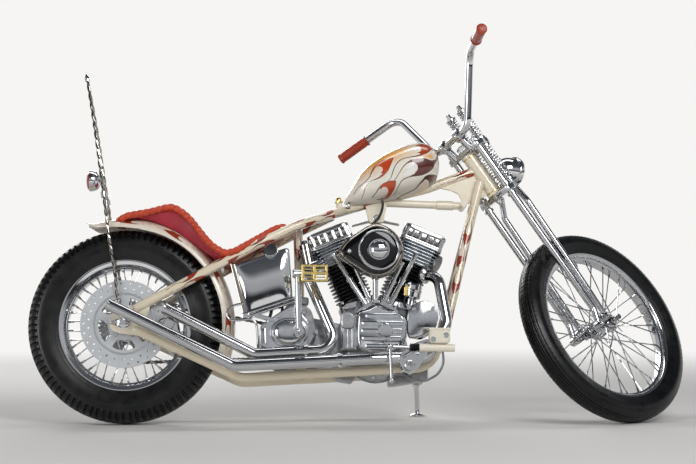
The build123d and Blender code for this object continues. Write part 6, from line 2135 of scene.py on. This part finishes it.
@dataclass
class Fork:
    """Springer fork: rigid and sprung legs, springs, rockers, trees, handlebar and headlamp."""

    leg: float = 12.5
    span: float = 64.0
    spring: Pair = (72, 30)
    tree: float = 22.0
    bridge: float = 590.0
    bar: float = 13.0
    lamp_at: Pair = (132, 632)

    def legs(self) -> None:
        """Rear legs with stem and crown, and front legs with the spring bridge."""
        piece = Piece("fork_legs_rigid_dressed", "fork", STANCE.fork())
        for side in (-1, 1):
            y = side * self.span
            line = even_path(bent_path([(-2, y, 775), (-2, y, 70), (-30, y, 14)], 40), 6)
            sizes = [self.leg if point.z > 110 else self.leg * (0.8 + 0.2 * max(point.z, 14) / 110)
                     for point in line]
            piece.add(swept(line, sizes, 28), CHROME)
            piece.add(turned([(-9, 0.5), (-9, 15), (9, 15), (9, 0.5)], (-30, y, 14), LEFT, 28), CHROME)
            for along in (548, 589):
                piece.add(square_ring((-2, y, along), UP, 12, 17, -5, 5, 28), CHROME)
        crown = rounded([(-20, -78), (20, -78), (58, -50), (58, 50), (20, 78), (-20, 78), (-26, 30),
                         (-26, -30)], 12)
        piece.add(slab(crown, NECK_LOW - 0.3 - self.tree, NECK_LOW - 0.3, 3), CHROME)
        piece.add(rod((0, 0, 556), (0, 0, 775), 12), GROUND_STEEL)
        piece.add(acorn((0, 0, 560), DOWN, 13), CHROME)
        piece.build("fork_legs_rigid", slot="chrome")
        piece = Piece("fork_legs_sprung_dressed", "fork", STANCE.fork())
        for side in (-1, 1):
            y = side * self.span
            line = even_path(bent_path([(30, y, 40), (44, y, 500), (self.spring[0], side * self.spring[1],
                                                                    self.bridge)], 40), 6)
            sizes = [11 if point.z > 120 else 8.6 + 2.4 * (point.z - 26) / 94 for point in line]
            piece.add(swept(line, sizes, 26), CHROME)
            piece.add(rod((30, y - 9, 26), (30, y + 9, 26), 13), CHROME)
        bridge = rounded([(50, -52), (94, -52), (94, 52), (50, 52)], 14)
        piece.add(slab(bridge, self.bridge - 6, self.bridge + 8, 3), CHROME)
        piece.build("fork_legs_sprung", slot="chrome")

    def springs(self) -> None:
        """Two pairs of springs on long rods that stand out above the top tree."""
        piece = Piece("fork_springs_dressed", "fork", STANCE.fork())
        for side in (-1, 1):
            at = (self.spring[0], side * self.spring[1])
            piece.add(rod((*at, self.bridge + 8), (*at, 914), 6.5), CHROME)
            for low, high, turns in ((self.bridge + 8, NECK_HIGH, 14.5), (768.6, 892, 12.5)):
                piece.add(coil(at, 15.2, 2.8, low + 4, high - 4, turns), CHROME)
                for z in (low, high - 4):
                    piece.add(square_ring((*at, z), UP, 7, 19, 0, 4, 32), CHROME)
            piece.add(turned([(0, 6), (0, 11), (8, 11), (9, 8), (20, 8), (23, 4), (23.5, 0.1)], (*at, 891),
                             UP, 6), CHROME)
        piece.build("fork_springs", slot="chrome")

    def top_tree(self) -> None:
        """Top clamp with leg caps, stem nut and risers that hold the bar."""
        piece = Piece("top_tree_dressed", "fork", STANCE.fork())
        low = NECK_HIGH + 0.3
        face = rounded([(-26, -44), (-20, -80), (20, -80), (60, -50), (92, -46), (92, 46), (60, 50), (20, 80),
                        (-20, 80), (-26, 44)], 12)
        piece.add(slab(face, low, low + self.tree, 3.5), CHROME)
        for side in (-1, 1):
            piece.add(acorn((-2, side * self.span, low + self.tree), UP, 13), CHROME)
            piece.add(rod((-14, side * 40, low + 10), (-32, side * 40, 812), 15, 12.5), CHROME)
            ring = ((-13, 13), (-13, 20), (-11, 21.5), (11, 21.5), (13, 20), (13, 13))
            piece.add(turned(ring, (-32, side * 40, 815), LEFT, 36, closed=True), CHROME)
            for tilt in (-1, 1):
                piece.add(bolt((-32 + 21 * tilt, side * 40, 818), UP, 9, 8), CHROME)
        piece.add(turned([(0, 24), (14, 24), (18, 20), (18, 0.2)], (0, 0, low + self.tree), UP, 6), CHROME)
        piece.build("top_tree", slot="chrome")

    def rockers(self) -> None:
        """Forged links between both pairs of legs, and the front axle with its nuts."""
        piece = Piece("rockers_dressed", "fork", STANCE.fork())
        piece.add(rod((60, -88, 0), (60, 88, 0), 9), GROUND_STEEL)
        for side in (-1, 1):
            link = [(-44, 14), (-40, 26), (-28, 30), (30, 41), (44, 34), (78, 8), (79, -6), (66, -18),
                    (50, -16), (22, -2), (-30, -1), (-41, 4)]
            piece.add(plate(flowing(link, 4), side * (self.span - 14.5), side * (self.span - 9.5), bevel=2),
                      CHROME)
            for x, z, r in ((-30, 14, 8), (30, 26, 8), (60, 0, 12)):
                reach = self.span + (9 if r < 10 else -6)
                piece.add(acorn((x, side * reach, z), (0, side, 0), r), CHROME)
        piece.build("rockers", slot="chrome")

    def handlebar(self) -> None:
        """Pulled-back bar with rubber grips."""
        piece = Piece("handlebar_dressed", "fork", STANCE.fork())
        half = [(-32, 92, 815), (62, 213, 1022), (-20, 324, 1022), (-89, 418, 1022)]
        path = [(x, -y, z) for x, y, z in reversed(half)] + half
        line = even_path(bent_path(path, 55), 6)
        piece.add(swept(line, self.bar, 30), CHROME)
        piece.build("handlebar", slot="chrome")
        piece = Piece("grips_dressed", "fork", STANCE.fork())
        for side in (-1, 1):
            start, end = Vector((-18, side * 322, 1022)), Vector((-89, side * 418, 1022))
            length = (end - start).length
            profile = [(0, 13), (0, 19), (3, 19.6), (6, 17.4)]
            for k in range(2):
                s = 9.0 + (length - 24) * k
                profile += [(s, 17), (s + 1.4, 16), (s + 3, 16), (s + 4.4, 17)]
            profile += [(length - 8, 17.4), (length - 4, 18.4), (length, 17.6), (length + 2, 13),
                        (length + 2.4, 0.1)]
            piece.add(turned(profile, start, end - start, 40), GRIP_RUBBER)
        piece.build("grips", slot="oxblood_grip")

    def headlamp(self) -> None:
        """Small bullet lamp with a fluted lens on its bracket."""
        piece = Piece("headlamp_dressed", "fork", STANCE.steered())
        at = fork_at(self.lamp_at[0], 0, self.lamp_at[1])
        piece.add(turned([(-51, 0.3), (-50, 10), (-45, 24), (-35, 36), (-20, 44.5), (0, 49), (12, 50.5),
                          (13, 53), (16, 55), (24, 55.5), (31, 54), (33, 51), (32, 48), (27, 46.5), (10, 40),
                          (-8, 25), (-15, 10), (-16, 0.3)], at, AHEAD, 72), CHROME)
        piece.add(turned([(-16, 5), (4, 5), (10, 3), (11, 0.1)], at, AHEAD, 20), WHITE_CERAMIC)
        rows = []
        angles = 2.0 * np.pi * np.arange(96) / 96
        for r in (47.6, 46, 43, 39, 35, 31, 27, 23, 19, 15, 11, 7, 3):
            y, z = r * np.cos(angles), r * np.sin(angles)
            flute = 0.9 * np.cos(2 * np.pi * y / 6.4) * min((47.6 - r) / 3, 1)
            rows.append(np.stack([at[0] + 30 + 8 * (1 - (r / 47.6) ** 2) + flute, y + at[1], z + at[2]],
                                 axis=1))
        piece.add(skinned(rows), FLUTED_GLASS)
        foot = fork_at(self.spring[0] + 20, 0, self.bridge + 2)
        piece.add(rod(foot, (at[0] - 14, 0, at[2] - 34), 8), CHROME)
        piece.add(turned([(-3, 15), (6, 15), (10, 9)], (at[0] - 12, 0, at[2] - 46), (0.1, 0, 1), 28), CHROME)
        piece.add(acorn((at[0] + 16, 0, at[2] + 54), UP, 4), CHROME)
        piece.build("headlamp", slot="chrome", sharp=40)

    def build(self) -> None:
        """Make the whole fork."""
        self.legs()
        self.springs()
        self.top_tree()
        self.rockers()
        self.handlebar()
        self.headlamp()


@dataclass
class Controls:
    """Foot pegs with the brake pedal and master cylinder on the right and the clutch pedal on the left."""

    peg: Pair = (936, 184)
    rail: float = 100.0
    reach: float = 226.0

    def foot_peg(self, piece: Piece, side: int, x: float, z: float) -> None:
        """Ribbed peg on a clamp round the lower rail."""
        out = (0, side, 0)
        at = (x, side * (self.rail + 22), z)
        piece.add(turned([(-44, 0.5), (-44, 24), (0, 24), (2, 17), (24, 17), (26, 0.5)], at, out, 40), CHROME)
        length = self.reach - self.rail - 22.0
        profile = [(24, 14)]
        for k in range(5):
            s = 28.0 + (length - 32) * k / 5.0
            profile += [(s, 13), (s + 1, 15), (s + 4, 15), (s + 5, 13)]
        profile += [(length - 2, 15), (length, 13), (length, 8), (length - 2, 7), (length - 2, 0.1)]
        piece.add(turned(profile, at, out, 32), CHROME)
        piece.add(bolt((x, side * (self.reach - 3), z), out, 12, 3), GROUND_STEEL)

    def brake(self) -> None:
        """Bracket, master cylinder with boot, reservoir, pedal and hose."""
        piece = Piece("brake_control_dressed")
        self.foot_peg(piece, -1, *self.peg)
        piece.add(plate(rounded([(898, 206), (920, 236), (960, 262), (1000, 274), (1012, 262), (990, 214),
                                 (962, 170), (926, 158)], 12), -174, -184, [circle(962, 236, 13)], bevel=2),
                  CHROME)
        piece.add(rod((916, -186, 214), (998, -186, 262), 6), CHROME)
        piece.add(turned([(0, 13), (114, 13), (116, 11), (116, 0.2)], (968, -192, 243), AHEAD, 36),
                  CREAM_ENAMEL)
        ripples = [(0, 7)]
        for k in range(5):
            ripples += [(2 + 6 * k, 11), (4.5 + 6 * k, 15.5), (7 + 6 * k, 11)]
        piece.add(turned([*ripples, (33, 12)], (936, -192, 243), AHEAD, 32), BLACK_RUBBER)
        piece.add(block((68, 42, 48), (1034, -192, 280), 7), CREAM_ENAMEL)
        for x, z in ((1012, 268), (1054, 282)):
            piece.add(flat_cap((x, -212, z), RIGHT, 9, 2, 3, 7.5, 28), CHROME)
        piece.add(block((72, 44, 7), (1034, -192, 303), 2), CREAM_ENAMEL)
        piece.add(rod((877, -200, 138), (872, -200, 244), 5.5), CHROME)
        ball = [(-9 * math.cos(a), 9 * math.sin(a)) for a in np.linspace(0.05, math.pi - 0.05, 14)]
        for x, z, size in ((877, 134, 1), (872, 246, 1.2)):
            piece.add(turned([(s * size, r * size) for s, r in ball], (x, -200, z), UP, 24), CHROME)
        piece.add(rod((872, -198, 246), (940, -193, 243), 4.5), CHROME)
        hose = smooth_path([(1046, -178, 238), (1048, -176, 196), (1034, -170, 164), (1010, -162, 146),
                            (984, -150, 138), (950, -142, 146), (912, -138, 160), (880, -128, 158)], 10)
        piece.add(swept(hose, 4, 12), STEEL_BRAID)
        piece.build("brake_control", slot="chrome")

    def clutch(self) -> None:
        """Left peg with its pedal arm and pad."""
        piece = Piece("clutch_control_dressed")
        x, z = 930.0, self.peg[1] - 3.0
        self.foot_peg(piece, 1, x, z)
        piece.add(rod((x, 190, z), (1010, 190, 280), 7, 5.5), CHROME)
        piece.add(rod((x, 180, z), (x, 200, z), 19.5), CHROME)
        pad = [(0, 0.5), (0, 14)]
        for k in range(6):
            s = 9.0 * k
            pad += [(s + 4, 14), (s + 5, 12.5), (s + 8, 12.5), (s + 9, 14)]
        piece.add(turned([*pad, (60, 14), (60, 0.5)], (1010, 180, 280), LEFT, 28), BLACK_RUBBER)
        piece.build("clutch_control", slot="chrome")

    def build(self) -> None:
        """Make both sides' controls."""
        self.brake()
        self.clutch()


@dataclass
class Studio:
    """Camera at the photograph's place, a pale floor and soft lamps."""

    distance: float = 5.5
    yaw: float = 2.85
    aim: Triple = (0.7446, 0, 0.541)
    focal: float = 84.18
    shift: float = 0.0431

    def camera(self) -> None:
        """Place the camera level with the engine, looking square at the right side."""
        axle = Vector(STANCE.joint("rear_wheel_spin")["pos_m"])
        yaw = math.radians(self.yaw)
        ahead = Vector((math.sin(yaw), math.cos(yaw), 0))
        lens = bpy.data.cameras.new("lens")
        lens.lens = self.focal
        lens.sensor_width = 36.0
        lens.shift_y = self.shift
        lens.clip_end = 60.0
        eye = bpy.data.objects.new("camera", lens)
        eye.location = Vector((self.aim[0] + axle.x, axle.y, self.aim[2])) - ahead * self.distance
        eye.rotation_euler = (math.radians(90), 0, -yaw)
        bpy.context.scene.collection.objects.link(eye)
        bpy.context.scene.camera = eye

    def floor(self) -> None:
        """Pale seamless floor that curves up into a backdrop."""
        rows = []
        for y, z in smooth_path(((-60, 0), (0, 0), (9, 0), (12, 0.4), (14, 2.2), (14.8, 5), (15, 10)), 6):
            rows.append(np.array([(x, y, max(z, 0)) for x in (-60, 60)]))
        sweep = skinned(rows, looped=False, capped=False)
        mesh = bpy.data.meshes.new("floor")
        mesh.from_pydata(sweep.points.tolist(), [], [face[::-1] for face in sweep.faces])
        mesh.polygons.foreach_set("use_smooth", [True] * len(sweep.faces))
        mesh.materials.append(self.paper())
        made = bpy.data.objects.new("floor", mesh)
        bpy.context.scene.collection.objects.link(made)

    def paper(self) -> bpy.types.Material:
        """Matt paper: takes a soft shadow and shows near white."""
        shade = bpy.data.materials.new("backdrop_paper")
        shade.use_nodes = True
        shader = shade.node_tree.nodes["Principled BSDF"]
        set_inputs(shader, {"Base Color": srgb("E6E4E1"), "Roughness": 0.85, "Specular IOR Level": 0.2})
        tree = shade.node_tree
        away = add_node(tree, "ShaderNodeVectorMath", {"operation": "LENGTH"}, {0: own_place(tree)})
        far = add_node(tree, "ShaderNodeMapRange", {"From Min": 1.3, "From Max": 5,
                                                    "interpolation_type": "SMOOTHSTEP"},
                       {"Value": away.outputs["Value"]})
        ray = add_node(tree, "ShaderNodeLightPath")
        mirrored = add_node(tree, "ShaderNodeMath", {"operation": "MAXIMUM"},
                            {0: ray.outputs["Is Glossy Ray"], 1: ray.outputs["Is Transmission Ray"]})
        shown = add_node(tree, "ShaderNodeMath", {"operation": "MAXIMUM"},
                         {0: ray.outputs["Is Camera Ray"], 1: mirrored.outputs[0]})
        seen = add_node(tree, "ShaderNodeMath", {"operation": "MULTIPLY"},
                        {0: far.outputs["Result"], 1: shown.outputs[0]})
        glow = add_node(tree, "ShaderNodeEmission", {"Color": srgb("F6F5F3")})
        both = add_node(tree, "ShaderNodeMixShader", links={0: seen.outputs[0], 1: shader.outputs[0],
                                                            2: glow.outputs[0]})
        tree.links.new(both.outputs[0], tree.nodes["Material Output"].inputs["Surface"])
        return shade

    def lamp(self, name: str, at: Triple, size: Pair, power: float, target: Triple = (0, 0, 0.5)) -> None:
        """One soft rectangular lamp turned to a target."""
        light = bpy.data.lights.new(name, "AREA")
        light.shape = "RECTANGLE"
        light.size, light.size_y = size
        light.energy = power
        made = bpy.data.objects.new(name, light)
        made.location = at
        made.rotation_euler = (Vector(at) - Vector(target)).to_track_quat("Z", "Y").to_euler()
        bpy.context.scene.collection.objects.link(made)

    def sky(self) -> None:
        """A room that is pale at the horizon and darker overhead, for chrome to mirror."""
        world = bpy.data.worlds.new("room")
        bpy.context.scene.world = world
        world.use_nodes = True
        tree = world.node_tree
        tree.nodes.clear()
        where = add_node(tree, "ShaderNodeTexCoord")
        split = add_node(tree, "ShaderNodeSeparateXYZ", links={0: where.outputs["Generated"]})
        ramp = add_node(tree, "ShaderNodeValToRGB", links={0: split.outputs["Z"]})
        stops = ((0, "303135"), (0.08, "3A3C41"), (0.17, "C3C5C8"), (0.36, "D6D7D9"), (0.48, "676A70"),
                 (1, "3C3F45"))
        while len(ramp.color_ramp.elements) < len(stops):
            ramp.color_ramp.elements.new(0.5)
        for element, (place, code) in zip(ramp.color_ramp.elements, stops):
            element.position, element.color = place, srgb(code)
        glow = add_node(tree, "ShaderNodeBackground", {"Strength": 0.8}, {"Color": ramp.outputs["Color"]})
        add_node(tree, "ShaderNodeOutputWorld", links={"Surface": glow.outputs[0]})

    def build(self) -> None:
        """Set up the camera, floor, lamps and room."""
        self.camera()
        self.floor()
        self.sky()
        self.lamp("key_softbox", (1.6, -3.6, 3.2), (2.6, 1.6), 105)
        self.lamp("fill_softbox", (-3.7, -3.4, 1.2), (1.6, 2), 55)
        self.lamp("top_strip", (0, 0.6, 3.4), (3.4, 0.7), 26)
        self.lamp("back_strip", (-1.2, 3, 2), (3, 0.8), 40)
        bpy.context.scene.view_settings.view_transform = "Standard"


def main() -> None:
    """Build every sub-assembly in order; each piece logs its number of faces."""
    logging.basicConfig(level=logging.INFO, format="%(message)s")
    Studio().build()
    Running().build()
    Frame().build()
    FuelTank().build()
    RearFender().build()
    Seat().build()
    Engine().build()
    Exhausts().build()
    Drive().build()
    OilTank().build()
    Trim().build()
    Fork().build()
    Controls().build()


if __name__ == "__main__":
    main()
